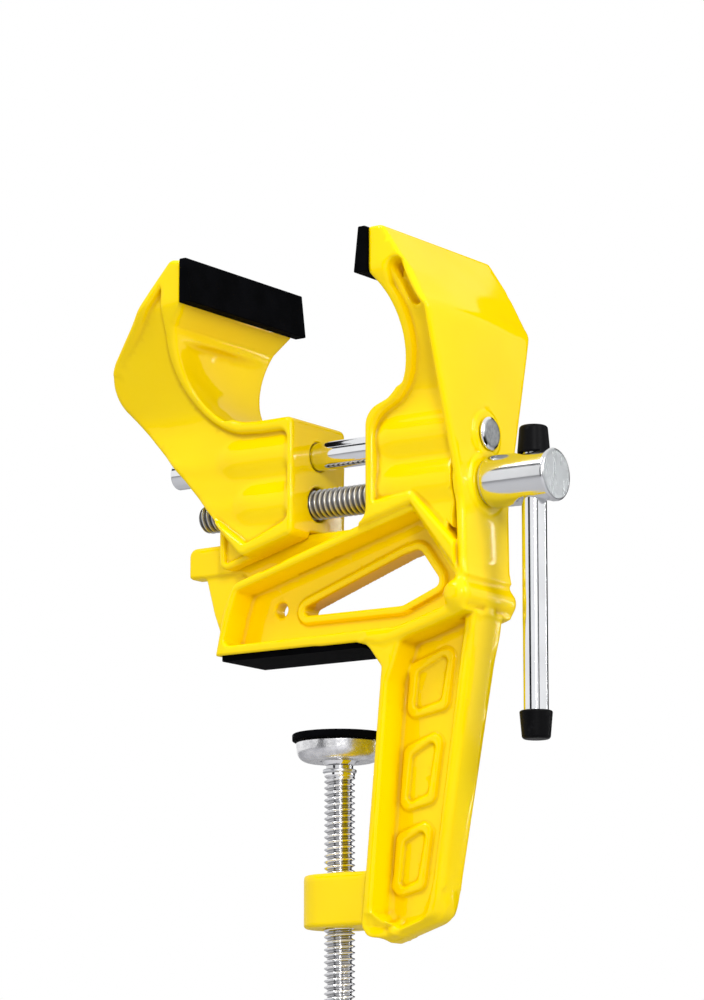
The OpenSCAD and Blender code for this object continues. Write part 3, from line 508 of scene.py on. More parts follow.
def jaw_rooms(block):
    """The two hollow rooms at the jaw's back, inside its walls and on both sides of the middle wall."""
    outline = block.side([*arc(SLIDING_MOUTH, MOUTH_R + JAW_WALL + 3, 250, 166), (-11, 122, 4), (-30, 124),
                          (-70, 110), (-60, 82), (-20, 78), (-2, 76.5, 3)])
    low_half, high_half = JAW_HALF - RIM_H - JAW_WALL, JAW_TOP_HALF - RIM_H - JAW_WALL
    rooms = block.end([(low_half, -100), (low_half, FLARE_Z, 10), (high_half, 118, 6), (high_half, 160)])
    return round_both(outline, round_both(rooms, -block.plate(JAW_WALL / 2), 1.5), 1.5)


def jaw_field(block):
    """The sliding jaw. A bead stands out of its sides along the mouth, the face, the underside and the lower
    back, and fades towards the upper back, where the side runs out to the edge."""
    end, outline = block.end, block.side(JAW)
    region = outline - 3
    core = swollen(block, both(region, end(jaw_stations(RIM_H))), region, (2, 8))
    bead = round_both(both(region, -block.side(JAW_POCKET)), end(jaw_stations(0)), 1.6)
    fade = RIM_H * rise(block.z, 126, 102) ** 2
    shoulder = round_both(both(region, -outline - 3.2), end(jaw_stations(0)) + fade, 1.2)
    shoulder = both(shoulder, block.x + 2, 100 - block.z)
    body = round_both(round_either(core, np.minimum(bead, shoulder), 1.2), outline, 1.6)
    body = round_either(body, jaw_cheeks(block), 0.6)
    bush_room = both(block.bar(X, 0, ROD_Z, 6.22), block.x - JAW_FACE + 1)
    nut_room = both(block.bar(X, 0, SCREW_Z, 7.02), block.between(X, JAW_FACE - 19.02, JAW_FACE - 2.98))
    return less(body, [
        (jaw_rooms(block), 1.0), (both(block.plate(4.4), block.z - 41.2), 1.0), (bush_room, 0.1),
        (block.bar(X, 0, ROD_Z, 4.9), 0.6), (block.bar(X, 0, SCREW_Z, 5.8), 0.5), (nut_room, 0.1),
        (dish(block, SLIDING_MOUTH, 248, 168), 1)])


# From fields and grids to meshes

class Solid:
    """A shape's field on a regular grid, which starts at a lowest corner."""

    def __init__(self, field, low, step):
        self.field, self.low, self.step = field, np.array(low, float), step

    def at(self, points):
        """The field's value at points, weighted between the eight grid points around each."""
        place = (points - self.low) / self.step
        cell = np.clip(np.floor(place).astype(int), 0, np.array(self.field.shape) - 2)
        share = place - cell
        value = 0
        for corner in np.ndindex(2, 2, 2):
            weight = np.prod(np.where(corner, share, 1 - share), axis=1)
            value = value + weight * self.field[tuple((cell + corner).T)]
        return value

    def slope(self, points):
        """The field's slope at points, from the differences 0.6 of a step to both sides along each axis."""
        shifts = 0.6 * self.step * np.eye(3)
        return np.stack([self.at(points + s) - self.at(points - s) for s in shifts], 1) / (1.2 * self.step)

    def hollow(self, points, reach=1.5):
        """Painted shade for inner corners: how far the surface is hollow at points, from 0 where it is flat
        or bulges to 1 in a tight inner corner. The mean of the field a little way off along the axes, less
        its value there, is negative in a hollow."""
        around = sum(self.at(points + way * shift) for way in (-reach, reach) for shift in np.eye(3))
        return np.clip((self.at(points) - around / 6) / (0.3 * reach), 0, 1)


def field_mesh(name, solid, detail, offset=(0, 0, 0)):
    """Mesh of the surface where a field is 0: cells that it crosses become faces, large where it is flat,
    then each point slides along the field's slope onto the surface, and that slope is its normal."""
    clear = 4 * solid.step
    grid = openvdb.FloatGrid(background=float(clear))
    grid.copyFromArray(np.ascontiguousarray(np.clip(solid.field, -clear, clear), dtype=np.float32))
    grid.transform = openvdb.createLinearTransform(voxelSize=solid.step)
    points, triangles, quads = grid.convertToPolygons(isovalue=0.0, adaptivity=detail)
    points = points.astype(float) + solid.low
    for _ in range(2):
        slope = solid.slope(points)
        pull = solid.at(points) / np.maximum((slope ** 2).sum(1), 0.25)
        points = points - np.clip(pull, -solid.step, solid.step)[:, None] * slope
    normals = solid.slope(points)
    normals /= np.maximum(norm(normals, axis=1), 1e-6)[:, None]
    corners = np.concatenate([triangles.ravel(), quads.ravel()])
    sizes = np.repeat([3, 4], [len(triangles), len(quads)])
    piece = mesh_piece(name, points + offset, corners, sizes, normals)
    # painted shade: the paint darkens where the surface is hollow, and where it faces down under the window's
    # roof
    write_on(piece, "hollow", np.maximum(solid.hollow(points), painted_window_shade(points, normals)))
    return piece


def painted_window_shade(points, normals):
    """Painted shade: 1 where the surface faces down within the frame's window, where little light comes,
    so that the paint is darker there.
    """
    inside = np.all((points > (-33, -4.6, 12)) & (points < (27, 4.6, 32.5)), axis=1)
    return np.clip(-1.3 * normals[:, Z] - 0.2, 0, 1) * inside


def write_on(piece, name, values):
    """Keeps one number for each point on the mesh."""
    kept = piece.data.attributes.new(name, "FLOAT", "POINT")
    kept.data.foreach_set("value", np.asarray(values, np.float32))


def mesh_piece(name, points, corners, sizes, normals):
    """A mesh object from points, the corners of its faces, the corner count of each face and a normal for
    each point. Faces that turn against their points' normals are turned round."""
    starts = np.concatenate([[0], np.cumsum(sizes)[:-1]]).astype(np.int32)
    a, b, c = (points[corners[starts + i]] for i in range(3))
    if (np.cross(b - a, c - a) * normals[corners[starts]]).sum() < 0:
        owner = np.repeat(np.arange(len(sizes)), sizes)
        corners = corners[2 * starts[owner] + sizes[owner] - 1 - np.arange(len(corners))]
    mesh = bpy.data.meshes.new(name)
    mesh.vertices.add(len(points))
    mesh.vertices.foreach_set("co", in_frame(points).astype(np.float32).ravel())
    mesh.loops.add(len(corners))
    mesh.loops.foreach_set("vertex_index", corners.astype(np.int32))
    mesh.polygons.add(len(sizes))
    mesh.polygons.foreach_set("loop_start", starts)
    mesh.polygons.foreach_set("use_smooth", np.ones(len(sizes), bool))
    mesh.update(calc_edges=True)
    mesh.validate()
    mesh.normals_split_custom_set_from_vertices(normals)
    piece = bpy.data.objects.new(name, mesh)
    bpy.context.scene.collection.objects.link(piece)
    return piece


def casting(name, make_field, low, high, offset=(0, 0, 0), step=0.5, detail=0.04):
    """A casting from one half of its field, mirrored about Y = 0."""
    block = Block(low, high, step)
    half = make_field(block).astype(np.float32)
    whole = np.concatenate([half[:, :0:-1], half], axis=1)
    corner = (block.axes[X][0], -block.axes[Y][-1], block.axes[Z][0])
    return field_mesh(name, Solid(whole, corner, step), detail, offset)


# Turned, threaded and moulded pieces

# an open profile starts and ends this close to its axis
TIP = 0.02
# steps round a turned piece, and rows of points over a thread's pitch
TURN_STEPS, PITCH_ROWS = 96, 14


def quad_grid(rows, columns, closed=False):
    """The quads between neighbours on a grid whose columns close to a ring, and its rows if asked."""
    i, j = np.arange(rows if closed else rows - 1)[:, None], np.arange(columns)
    below, above, right = i * columns, (i + 1) % rows * columns, (j + 1) % columns
    return np.stack([below + j, below + right, above + right, above + j], -1).reshape(-1, 4)


def swept_ring(name, along, out, axis, at, turns, normal=None, closed=False):
    """The surface of points at a distance along an axis and out from it, carried round the axis.
    out is one radius for each distance, with the normal's parts along and outwards, or a grid of radii over
    distance and angle, whose normals come from its slopes."""
    line = np.eye(3)[axis]
    first, second = np.roll(line, 1), np.roll(line, 2)
    angle = np.linspace(0, 2 * np.pi, turns, endpoint=False)
    across = np.cos(angle)[:, None] * first + np.sin(angle)[:, None] * second
    if normal:
        out = out[:, None] * np.ones(turns)
        normals = normal[0][:, None, None] * line + normal[1][:, None, None] * across
    else:
        by_angle = (np.roll(out, -1, 1) - np.roll(out, 1, 1)) / (2 * (angle[1] - angle[0]))
        by_length = np.gradient(out, along, axis=0)
        sideways = -np.sin(angle)[:, None] * first + np.cos(angle)[:, None] * second
        normals = (across - by_length[:, :, None] * line
                   - (by_angle / np.maximum(out, 0.1))[:, :, None] * sideways)
    normals = normals / np.maximum(norm(normals, axis=2), 1e-9)[:, :, None]
    points = (at + along[:, None, None] * line + out[:, :, None] * across).reshape(-1, 3)
    normals = normals.reshape(-1, 3)
    rows, n = len(along), len(points)
    corners = quad_grid(rows, turns, closed).ravel()
    sizes = np.full(len(corners) // 4, 4)
    if not closed:
        ring = np.arange(turns)
        after, top = (ring + 1) % turns, (rows - 1) * turns
        low_end = np.stack([ring, np.full(turns, n), after], 1)
        high_end = np.stack([top + ring, top + after, np.full(turns, n + 1)], 1)
        points = np.vstack([points, at + along[0] * line, at + along[-1] * line])
        normals = np.vstack([normals, -line, line])
        corners = np.concatenate([corners, low_end.ravel(), high_end.ravel()])
        sizes = np.concatenate([sizes, np.full(2 * turns, 3)])
    return mesh_piece(name, points, corners, sizes, normals)


def turned(name, profile, axis, at, closed=False):
    """A turned piece: a profile of (distance along the axis, radius, corner radius), carried round the axis.
    An open profile starts and ends close to the axis, where a point closes it."""
    along, out, *normal = rounded(profile, closed).T
    return swept_ring(name, along, out, axis, np.array(at, float), TURN_STEPS, normal, closed)


def solid_bar(length, r, edge):
    """Profile of a round bar with rounded ends."""
    return [(0, TIP), (0, r, edge), (length, r, edge), (length, TIP)]


def ring_profile(length, inner, outer, edge):
    """Profile of a ring with rounded edges."""
    return [(0, inner, edge), (0, outer, edge), (length, outer, edge), (length, inner, edge)]


def thread_radius(along, turns, start, end):
    """Radii of a right-hand thread over distance and angle: a wave of the distance less the angle's share of
    a pitch, flattened at its crests and roots, which fades out before the start and after the end."""
    angle = np.arange(turns) / turns
    wave = rise(np.abs(2 * np.mod(along[:, None] / PITCH - angle[None, :], 1) - 1), 0.12, 0.84)
    wave = 0.45 * wave + 0.55 * wave * wave * (3 - 2 * wave)
    fade = rise(along, start - 0.6, start + 0.6) * rise(along, end + 0.6, end - 0.6)
    return SCREW_R - THREAD_DEPTH * wave * fade[:, None]


def threaded(name, length, axis, at, start, end, shape=None, turns=64):
    """A screw with tapered tips and a thread from start to end. shape(along, radii) changes its plain parts.
    How deep each point lies in the thread, from 0 at the crest to 1 at the root, is written on the mesh."""
    along = np.arange(0, length + 1e-6, PITCH / PITCH_ROWS)
    along[-1] = length
    out = thread_radius(along, turns, start, end)
    out = np.minimum(out, SCREW_R - THREAD_DEPTH + np.minimum(along, length - along)[:, None])
    if shape:
        out = shape(along, out)
    piece = swept_ring(name, along, out, axis, np.array(at, float), turns)
    spots = np.empty(len(piece.data.vertices) * 3, np.float32)
    piece.data.vertices.foreach_get("co", spots)
    offset = (spots.reshape(-1, 3) - in_frame(at)) / MM
    offset[:, axis] = 0
    write_on(piece, "groove", rise(norm(offset, axis=1), SCREW_R, SCREW_R - THREAD_DEPTH))
    return piece


def moulded(name, outline, y0, y1, edge=0.35):
    """A moulded slab: an outline in X and Z carried from y0 to y1, drawn in along its normals by a quarter
    circle at both ends, with flat end faces."""
    rows = rounded(outline)
    t = np.radians(np.linspace(0, 90, 6))
    ends = np.concatenate([y0 + edge * (1 - np.sin(t))[::-1], y1 - edge * (1 - np.sin(t))])
    inset = np.concatenate([edge * (1 - np.cos(t))[::-1], edge * (1 - np.cos(t))])
    tilt = np.concatenate([-t[::-1], t])[:, None]
    spot = rows[None, :, :2] - inset[:, None, None] * rows[None, :, 2:]
    level = np.ones(len(rows))
    points = np.stack([spot[:, :, 0], ends[:, None] * level, spot[:, :, 1]], -1)
    normals = np.stack([rows[:, 2] * np.cos(tilt), np.sin(tilt) * level, rows[:, 3] * np.cos(tilt)], -1)
    count, n = len(ends), len(rows)
    quads = quad_grid(count, n)
    corners = np.concatenate([quads.ravel(), np.arange(n)[::-1], (count - 1) * n + np.arange(n)])
    sizes = np.repeat([4, n], [len(quads), 2])
    return mesh_piece(name, points.reshape(-1, 3), corners, sizes, normals.reshape(-1, 3))


# Finishes

class Value:
    """One output socket. Arithmetic on it adds Math nodes, so an expression reads as its formula."""

    def __init__(self, nodes, socket):
        self.nodes, self.socket = nodes, socket

    def maths(self, operation, *values):
        return self.nodes.node("ShaderNodeMath", {"operation": operation}, dict(enumerate(values)))

    def __add__(self, other):
        return self.maths("ADD", self, other)

    def __mul__(self, other):
        return self.maths("MULTIPLY", self, other)

    __radd__, __rmul__ = __add__, __mul__

    def ramp(self, low, high):
        """0 below low, 1 above high, and a smooth rise between."""
        return self.nodes.node("ShaderNodeMapRange", {"interpolation_type": "SMOOTHSTEP", "clamp": True},
                               {"Value": self, "From Min": low, "From Max": high})


class Nodes:
    """A tree of nodes."""

    def __init__(self, tree):
        self.tree = tree

    def feed(self, socket, value):
        if isinstance(value, Value):
            self.tree.links.new(value.socket, socket)
        elif isinstance(value, (tuple, list)) and socket.type == "RGBA":
            socket.default_value = (*value[:3], 1)
        else:
            socket.default_value = value

    def node(self, kind, settings, inputs, output=0):
        """Any node: its type, its settings, which are set first, and the values or links of its sockets."""
        made = self.tree.nodes.new(kind)
        for key, value in settings.items():
            setattr(made, key, value)
        for key, value in inputs.items():
            self.feed(made.inputs[key], value)
        return Value(self, made.outputs[output]) if made.outputs else None


class Finish(Nodes):
    """A node material with one Principled surface."""

    def __init__(self, name, **constants):
        self.material = bpy.data.materials.new(name)
        self.material.use_nodes = True
        super().__init__(self.material.node_tree)
        self.surface = self.tree.nodes["Principled BSDF"]
        self.set(constants)
        self.place = self.node("ShaderNodeTexCoord", {}, {}, "Object")

    def set(self, values):
        """Sets the surface's sockets, named with underscores for spaces, to constants or links."""
        for key, value in values.items():
            self.feed(self.surface.inputs[key.replace("_", " ")], value)
        return self

    def surfaced(self, colour, rough, height, depth, **more):
        """The material, with its colour, its roughness and its bumps, whose depth is in metres."""
        bump = self.node("ShaderNodeBump", {}, {"Height": height, "Distance": depth, "Strength": 1.0})
        return self.set({"Base_Color": colour, "Roughness": rough, "Normal": bump, **more}).material

    def noise(self, per_metre, detail=2.0, rough=0.5, stretch=(1, 1, 1)):
        """Noise with so many grains a metre, from 0 to 1."""
        where = self.node("ShaderNodeMapping", {}, {"Vector": self.place, "Scale": stretch})
        return self.node("ShaderNodeTexNoise", {}, {"Vector": where, "Scale": per_metre, "Detail": detail,
                                                    "Roughness": rough})

    def mix(self, factor, first, second):
        """A colour between two colours."""
        return self.node("ShaderNodeMix", {"data_type": "RGBA"}, {0: factor, 6: first, 7: second}, 2)

    def beyond(self, x):
        """1 beyond a place along X in the frame, in metres, 0 before it, and a short rise at the edge."""
        here = self.node("ShaderNodeSeparateXYZ", {}, {"Vector": self.place}, "X")
        return here.ramp(x - 0.4 * MM, x - 0.1 * MM)

    def written(self, name):
        """A number that the mesh carries on its points."""
        return self.node("ShaderNodeAttribute", {"attribute_name": name}, {}, "Fac")


def yellow_paint():
    """Thick glossy paint over a casting: slight waves from the sand, fine orange peel, a deeper tone at
    random in places, and painted shade in a dark ochre in the hollows and under the window's roof."""
    f = Finish("yellow_paint", Coat_Roughness=0.05, Coat_IOR=1.5, IOR=1.5, Specular_IOR_Level=0.0)
    waves, peel, tone = f.noise(90, 1), f.noise(900, 2), f.noise(28, 3)
    yellow = f.mix(tone.ramp(0.35, 0.7), (0.985, 0.715, 0.0), (0.97, 0.68, 0.0))
    # painted shade: darker ochre where the mesh is hollow or lies under the window's roof
    hollow = f.written("hollow").ramp(0.05, 1.0) * 0.75
    return f.surfaced(f.mix(hollow, yellow, (0.62, 0.33, 0.0)), 0.3 + 0.12 * peel.ramp(0.3, 0.7),
                      waves * 0.9 + peel * 0.1, 0.00016, Coat_Weight=0.34 + 0.16 * waves)


def black_rubber():
    """Matt rubber with a fine grain."""
    f = Finish("black_rubber", Specular_IOR_Level=0.02)
    grain, patch = f.noise(2600, 3, 0.7), f.noise(120, 2)
    colour = f.mix(patch.ramp(0.3, 0.7), (0.0008, 0.0009, 0.0012), (0.002, 0.0022, 0.003))
    return f.surfaced(colour, 0.72 + 0.2 * grain, grain, 0.00012)


def polished_chrome(name, end_x=None):
    """Bright plating with a trace of length-wise polishing. Beyond end_x, where a rod is riveted, it is dull
    and mottled."""
    f = Finish(name, Metallic=1.0)
    streaks, cloud = f.noise(60, 2, 0.5, (1, 14, 14)), f.noise(70, 2)
    colour = f.mix(cloud.ramp(0.3, 0.75), (0.82, 0.83, 0.85), (0.76, 0.77, 0.79))
    rough = 0.05 + 0.05 * streaks
    if end_x:
        end, mottle = f.beyond(end_x), f.noise(900, 3, 0.7)
        colour = f.mix(end, colour, f.mix(mottle.ramp(0.35, 0.65), (0.36, 0.37, 0.38), (0.24, 0.25, 0.26)))
        rough = rough + 0.3 * end
    return f.surfaced(colour, rough, streaks, 0.00001)


def satin_chrome(end_x):
    """Plating over fine turning marks, greyer on the faced end beyond end_x."""
    f = Finish("satin_chrome", Metallic=1.0)
    scratches, cloud, end = f.noise(500, 2, 0.6, (1, 1.5, 0.25)), f.noise(60, 2), f.beyond(end_x)
    bright = f.mix(cloud.ramp(0.3, 0.75), (0.72, 0.73, 0.745), (0.66, 0.67, 0.685))
    return f.surfaced(f.mix(end, bright, (0.46, 0.48, 0.49)), 0.08 + 0.1 * scratches + 0.15 * end, scratches,
                      0.00001)


def pressed_plating():
    """Zinc over a pressed cap: cloudy and a little dented."""
    f = Finish("pressed_plating", Metallic=1.0)
    dents, cloud = f.noise(140, 3, 0.6), f.noise(330, 4, 0.65)
    colour = f.mix(cloud.ramp(0.3, 0.7), (0.86, 0.86, 0.87), (0.62, 0.62, 0.64))
    return f.surfaced(colour, 0.16 + 0.22 * cloud, dents + cloud * 0.3, 0.00025)


def rolled_thread(name, crest, root, gloss, wear):
    """A rolled thread: bright worn crests, dark oily roots and fine scratches."""
    f = Finish(name, Metallic=1.0)
    scratches = f.noise(1500, 3, 0.7)
    depth = f.written("groove").ramp(0.1, 0.85) * (0.75 + 0.5 * scratches)
    rough = gloss + wear * depth + 0.6 * wear * scratches
    return f.surfaced(f.mix(depth.ramp(0, 1), crest, root), rough, scratches, 0.00016 * wear)


def plain_steel(name, tone, dark, gloss):
    """Turned or blanked metal with fine marks."""
    f = Finish(name, Metallic=1.0)
    marks, cloud = f.noise(700, 3, 0.6), f.noise(90, 2)
    return f.surfaced(f.mix(cloud.ramp(0.3, 0.7), tone, dark), gloss + 0.15 * marks, marks, 0.00003)


def cap_plastic():
    """Soft black plastic with a low sheen and a few scuffs."""
    f = Finish("cap_plastic", Specular_IOR_Level=0.05)
    scuffs, grain = f.noise(260, 4, 0.7), f.noise(1800, 2)
    colour = f.mix(scuffs.ramp(0.55, 0.8), (0.003, 0.003, 0.0035), (0.012, 0.012, 0.013))
    return f.surfaced(colour, 0.3 + 0.2 * scuffs, grain * 0.5 + scuffs, 0.00006)


paint, rubber = yellow_paint(), black_rubber()
chrome = polished_chrome("polished_chrome")
riveted = polished_chrome("riveted_chrome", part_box("guide_rod")[1][X])
satin = satin_chrome(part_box("lead_screw_head")[1][X])
pressed, plastic = pressed_plating(), cap_plastic()
dark_thread = rolled_thread("dark_thread", (0.58, 0.59, 0.6), (0.16, 0.16, 0.17), 0.24, 0.25)
bright_thread = rolled_thread("bright_thread", (0.92, 0.92, 0.93), (0.5, 0.5, 0.51), 0.06, 0.08)
zinc = plain_steel("zinc_steel", (0.72, 0.73, 0.75), (0.6, 0.61, 0.63), 0.22)
bronze = plain_steel("bearing_bronze", (0.72, 0.5, 0.22), (0.55, 0.36, 0.15), 0.28)


def finished(piece, material, body, slot, *nodes):
    """Gives a piece its material and body, and hides the nodes that it stands for. The slot is not used."""
    piece.data.materials.clear()
    piece.data.materials.append(material)
    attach(piece, body)
    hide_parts(*nodes)
    return piece


# Castings

finished(casting("frame_body", frame_field, (-82, 0, -96), (45, 34, 136)), paint, "frame", "yellow_casting",
         "frame_casting")
finished(casting("jaw_body", jaw_field, (-46, 0, 22), (36, 34, 136), (SLIDING_SEAT_X, 0, 0)), paint, "jaw",
         "yellow_casting", "sliding_jaw")

# Pads

for node, way, body in (("sliding_jaw_pad", 1, "jaw"), ("fixed_jaw_pad", -1, "frame")):
    low, high = box_of(node)
    seat = low[X] if way > 0 else high[X]
    outline = [(seat, PAD_Z, 0.4), (seat, PAD_TOP, 0.4), (seat + way * 2.8, PAD_TOP, 0.4),
               (seat + way * 4.5, PAD_Z, 0.4)][::way]
    pad = moulded(node.replace("_jaw_pad", "_rubber"), outline, low[Y], high[Y])
    finished(pad, rubber, body, "rubber", node)
low, high = box_of("foot_pad")
outline = [(low[X], low[Z], 0.4), (low[X], high[Z], 0.4), (high[X], high[Z], 0.4), (high[X], low[Z], 0.4)]
finished(moulded("foot_rubber", outline, low[Y], high[Y]), rubber, "frame", "rubber", "foot_pad")

# Rod and screws

start, length = span("guide_rod", X)
rivet = length - 1.4
rod_profile = [(0, TIP), (0, ROD_R, 0.8), (rivet, ROD_R, 0.1), (rivet, 5.5, 0.15), (length - 0.75, 5.45, 0.5),
               (length, 4.2, 2.2), (length, TIP)]
finished(turned("rod", rod_profile, X, (start, 0, ROD_Z)), riveted, "frame", "rod_chrome", "guide_rod")

start, length = span("lead_screw", X)
finished(threaded("lead_thread", length, X, (start, 0, SCREW_Z), 0, PLATE_SEAT_X - 8 - start), dark_thread,
         "lead", "rolled_steel", "lead_screw")

cap_low, cap_height = span("swivel_cap", Z)
collar_low, collar_height = span("ball_washer", Z)
clamp_low, clamp_length = span("clamp_screw", Z)
BALL_R, BALL_Z, CAP_ROOF = 6.2, cap_low + 4.4, cap_low + cap_height - 0.8


def ball_end(along, out):
    """The clamp screw's top: a neck through the collar, then a ball with a shallow cone on top, so that the
    cap can tilt 6 degrees on it."""
    z = (clamp_low + along)[:, None]
    cone = np.maximum((CAP_ROOF - z) / np.tan(np.radians(6.5)), 0.14)
    ball = np.minimum(np.sqrt(np.maximum(BALL_R ** 2 - (z - BALL_Z) ** 2, 0.02)), cone)
    neck = np.where(z > collar_low - 0.02, np.minimum(out, 4.4), out)
    return np.where(z > BALL_Z - 4.2, np.where(z > BALL_Z, ball, np.maximum(ball, neck)), neck)


finished(threaded("clamp_thread", clamp_length, Z, (CLAMP_X, 0, clamp_low), 12, collar_low - clamp_low - 1.5,
                  ball_end), bright_thread, "clamp", "zinc_steel", "clamp_screw")

# The screws' heads

HEAD_R, HEAD_LENGTH, BORE_AT, BAR_R = 8.5, 24.5, 15.9, 4.0


def head_field(along, across, up):
    """A screw head: a bar along the first axis with a countersunk cross bore along the last and a blind bore
    for the screw, all edges rounded."""
    bar = round_both(np.hypot(across, up) - HEAD_R, np.abs(along - HEAD_LENGTH / 2) - HEAD_LENGTH / 2, 1.1)
    from_bore = np.hypot(along - BORE_AT, across)
    countersink = (from_bore - (np.abs(up) - HEAD_R) - 6.3) * np.sqrt(0.5)
    screw = np.maximum(np.hypot(across, up) - SCREW_R - 0.02, along - 10.3)
    return less(bar, [(np.minimum(from_bore - BAR_R - 0.05, countersink), 0.35), (screw, 0.2)])


def screw_head(name, axis, at, way, bore_axis, step=0.25):
    """A head from its field on a fine grid, along one axis and with its cross bore along another."""
    along = np.arange(-1, HEAD_LENGTH + 1 + step, step, dtype=np.float32)
    across = np.arange(-9.5, 9.5 + step, step, dtype=np.float32)
    order = [axis, 3 - axis - bore_axis, bore_axis]
    grids = [across] * 3
    grids[axis] = along if way > 0 else -along[::-1]
    mesh = np.meshgrid(*grids, indexing="ij", sparse=True)
    field = head_field(mesh[order[0]] * way, mesh[order[1]], mesh[order[2]])
    return field_mesh(name, Solid(field, [g[0] for g in grids], step), 0.01, at)


head_start = span("lead_screw_head", X)[0]
finished(screw_head("lead_head", X, (head_start, 0, SCREW_Z), 1, Z), satin, "lead", "head_chrome",
         "lead_screw_head")
head_top = sum(span("clamp_screw_head", Z))
finished(screw_head("clamp_head", Z, (CLAMP_X, 0, head_top), -1, Y), satin, "clamp", "head_chrome",
         "clamp_screw_head")

# Handle bars and their caps


def handle_bar(name, node, axis, body, x=None):
    """A plain round bar with softly rounded ends, in the middle of its node or at a given X."""
    low, high = box_of(node)
    at = (low + high) / 2
    at[axis] = low[axis]
    at[X] = x or at[X]
    bar = turned(name, solid_bar(high[axis] - low[axis], BAR_R, 0.5), axis, at)
    finished(bar, chrome, body, "rod_chrome", node)


def bar_cap(name, node, axis, way, body):
    """A moulded cap with a tapered side and a soft end, and a blind bore over the bar's end."""
    low, high = box_of(node)
    at = (low + high) / 2
    at[axis] = low[axis] if way > 0 else high[axis]
    length = high[axis] - low[axis]
    profile = [(length - 1.6, TIP), (length - 1.6, 4.03, 0.2), (0, 4.03, 0.2), (0, 5.3, 0.6),
               (length, 4.5, 1.1), (length, TIP)]
    if way < 0:
        profile = [(-p[0], *p[1:]) for p in reversed(profile)]
    finished(turned(name, profile, axis, at), plastic, body, "cap_plastic", node)


handle_bar("upper_handle_bar", "upper_bar", Z, "upper_handle")
bar_cap("upper_cap", "upper_bar_top_cap", Z, 1, "upper_handle")
bar_cap("upper_cap_below", "upper_bar_bottom_cap", Z, -1, "upper_handle")
handle_bar("lower_handle_bar", "lower_bar", Y, "lower_handle", CLAMP_X)
bar_cap("lower_cap_left", "lower_bar_left_cap", Y, -1, "lower_handle")
bar_cap("lower_cap_right", "lower_bar_right_cap", Y, 1, "lower_handle")

# Table clamp's cap and disc

cap_profile = [(-0.7, TIP), (-0.7, 6.3, 0.3), (-6.6, 6.3, 0.5), (-6.6, 13.6, 3.8), (0, 14.2, 0.7), (0, TIP)]
finished(turned("cap_shell", cap_profile, Z, (CLAMP_X, 0, cap_low + cap_height)), pressed, "swivel",
         "cap_chrome", "swivel_cap")
start, length = span("clamp_disc", Z)
disc_profile = solid_bar(length, span("clamp_disc", X)[1] / 2, 0.6)
disc = turned("disc_rubber", disc_profile, Z, (CLAMP_X, 0, start))
finished(disc, rubber, "swivel", "rubber", "clamp_disc")

# Collar and washer, then the pieces that keep their CAD shape

collar_profile = ring_profile(collar_height, 4.45, 5.5, 0.4)
finished(turned("collar", collar_profile, Z, (CLAMP_X, 0, collar_low), closed=True), zinc, "clamp_carrier",
         "zinc_steel", "ball_washer")
start, length = span("thrust_washer", X)
washer_profile = ring_profile(length, SCREW_R + 0.02, 7.6, 0.2)
finished(turned("washer", washer_profile, X, (start, 0, SCREW_Z), closed=True), zinc, "lead", "rolled_steel",
         "thrust_washer")
for node, material in (("jaw_nut", bronze), ("front_bush", bronze), ("rear_bush", bronze),
                       ("keeper_ring", zinc), ("lead_head_pin", satin), ("clamp_head_pin", satin)):
    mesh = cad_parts[node].data
    mesh.materials.clear()
    mesh.materials.append(material)

# Studio

scene = bpy.context.scene
scene.view_settings.view_transform = "Standard"
WORLD_FILL = 0.42


def studio_white():
    """A world that lights plainly, and is white where the camera, a mirror or glass sees it."""
    world = bpy.data.worlds.new("studio")
    world.use_nodes = True
    scene.world = world
    nodes = Nodes(world.node_tree)
    nodes.tree.nodes.clear()
    seen, *others = (nodes.node("ShaderNodeLightPath", {}, {}, f"Is {ray} Ray")
                     for ray in ("Camera", "Glossy", "Transmission"))
    for ray in others:
        seen = seen.maths("MAXIMUM", seen, ray)
    fill, white = (nodes.node("ShaderNodeBackground", {}, {"Color": (1, 1, 1), "Strength": strength})
                   for strength in (WORLD_FILL, 1.0))
    shown = nodes.node("ShaderNodeMixShader", {}, {0: seen, 1: fill, 2: white})
    nodes.node("ShaderNodeOutputWorld", {}, {"Surface": shown})


def flat_sheet(name, corners, colour):
    """A flat sheet of the studio, which isn't part of the object."""
    mesh = bpy.data.meshes.new(name)
    mesh.from_pydata(corners, [], [(0, 1, 2, 3)])
    sheet = bpy.data.objects.new(name, mesh)
    scene.collection.objects.link(sheet)
    tone = Finish(name + "_tone", Roughness=0.9, Base_Color=colour, Specular_IOR_Level=0.1)
    mesh.materials.append(tone.material)
    sheet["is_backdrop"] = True
    return sheet


def soft_box(name, place, width, height, power):
    """A soft area lamp that faces the middle of the object."""
    lamp = bpy.data.lights.new(name, "AREA")
    lamp.shape, lamp.size, lamp.size_y, lamp.energy = "RECTANGLE", width, height, power
    holder = bpy.data.objects.new(name, lamp)
    scene.collection.objects.link(holder)
    away = Vector(place) - Vector((0.01, 0, 0))
    holder.matrix_world = Matrix.LocRotScale(Vector(place), away.to_track_quat("Z", "Y"), None)


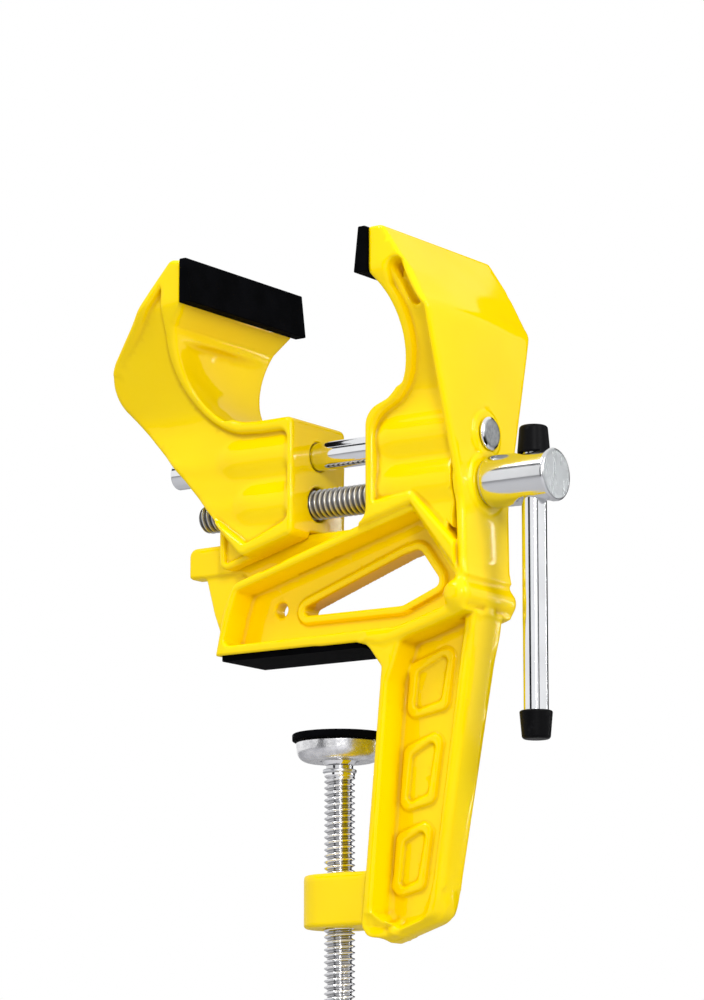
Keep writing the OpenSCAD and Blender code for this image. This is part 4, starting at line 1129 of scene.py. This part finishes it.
studio_white()
FLOOR_Z = -0.21
floor_corners = [(x, y, FLOOR_Z) for x, y in ((-2.5, -2.5), (2.5, -2.5), (2.5, 2.5), (-2.5, 2.5))]
flat_sheet("floor", floor_corners, (0.6, 0.6, 0.62))
soft_box("key", (-0.38, -0.7, 1.0), 0.4, 0.6, 8.5)
soft_box("camera_side", (0.9, -1.0, 0.45), 0.22, 0.3, 5.4)
soft_box("plate_side", (1.1, -0.15, 0.6), 0.4, 0.6, 6)
soft_box("edge_line", (0.66, -0.78, 0.25), 0.02, 0.5, 1.0)
soft_box("plate_line", (0.588, 0.846, 0.045), 0.007, 0.41, 0.2)

# dark cards that only reflections see
DARK_CARDS = {
    "dark_ceiling": [(-1.0, -0.2, 0.62), (-0.24, -1.0, 0.62), (-0.2, -0.9, 0.78), (-0.9, -0.16, 0.78)],
    "dark_back": [(0.5, 1.1, -0.18), (-0.5, 1.15, -0.18), (-0.5, 1.15, 0.9), (0.5, 1.1, 0.9)],
    "dark_front": [(-0.05, -1.0, -0.18), (-0.4, -0.95, -0.18), (-0.4, -0.95, 0.5), (-0.05, -1.0, 0.5)],
    "dark_right": [(0.96, -0.4, -0.18), (0.9, -0.54, -0.18), (0.9, -0.54, 0.5), (0.96, -0.4, 0.5)]}
for name, corners in DARK_CARDS.items():
    card = flat_sheet(name, corners, (0.02, 0.02, 0.024))
    card.visible_camera = card.visible_diffuse = card.visible_shadow = False

# Camera, with its focal length in pixels of the photograph's 1000 pixels of height

FOCUS, PICTURE_HEIGHT, SENSOR = 3802.7, 1000, 36
CAMERA = (685.04, -1001.12, -180.66)
AZIMUTH, PITCH_UP = np.radians(34.934), np.radians(10.752)
camera = bpy.data.cameras.new("camera")
camera.sensor_width = SENSOR
camera.lens = FOCUS * SENSOR / PICTURE_HEIGHT
camera.clip_start, camera.clip_end = 0.05, 20
eye = bpy.data.objects.new("camera", camera)
scene.collection.objects.link(eye)
turn = Euler((np.pi / 2 + PITCH_UP, 0, AZIMUTH))
eye.matrix_world = Matrix.LocRotScale(Vector(in_frame(CAMERA)), turn, None)
scene.camera = eye

low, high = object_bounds()
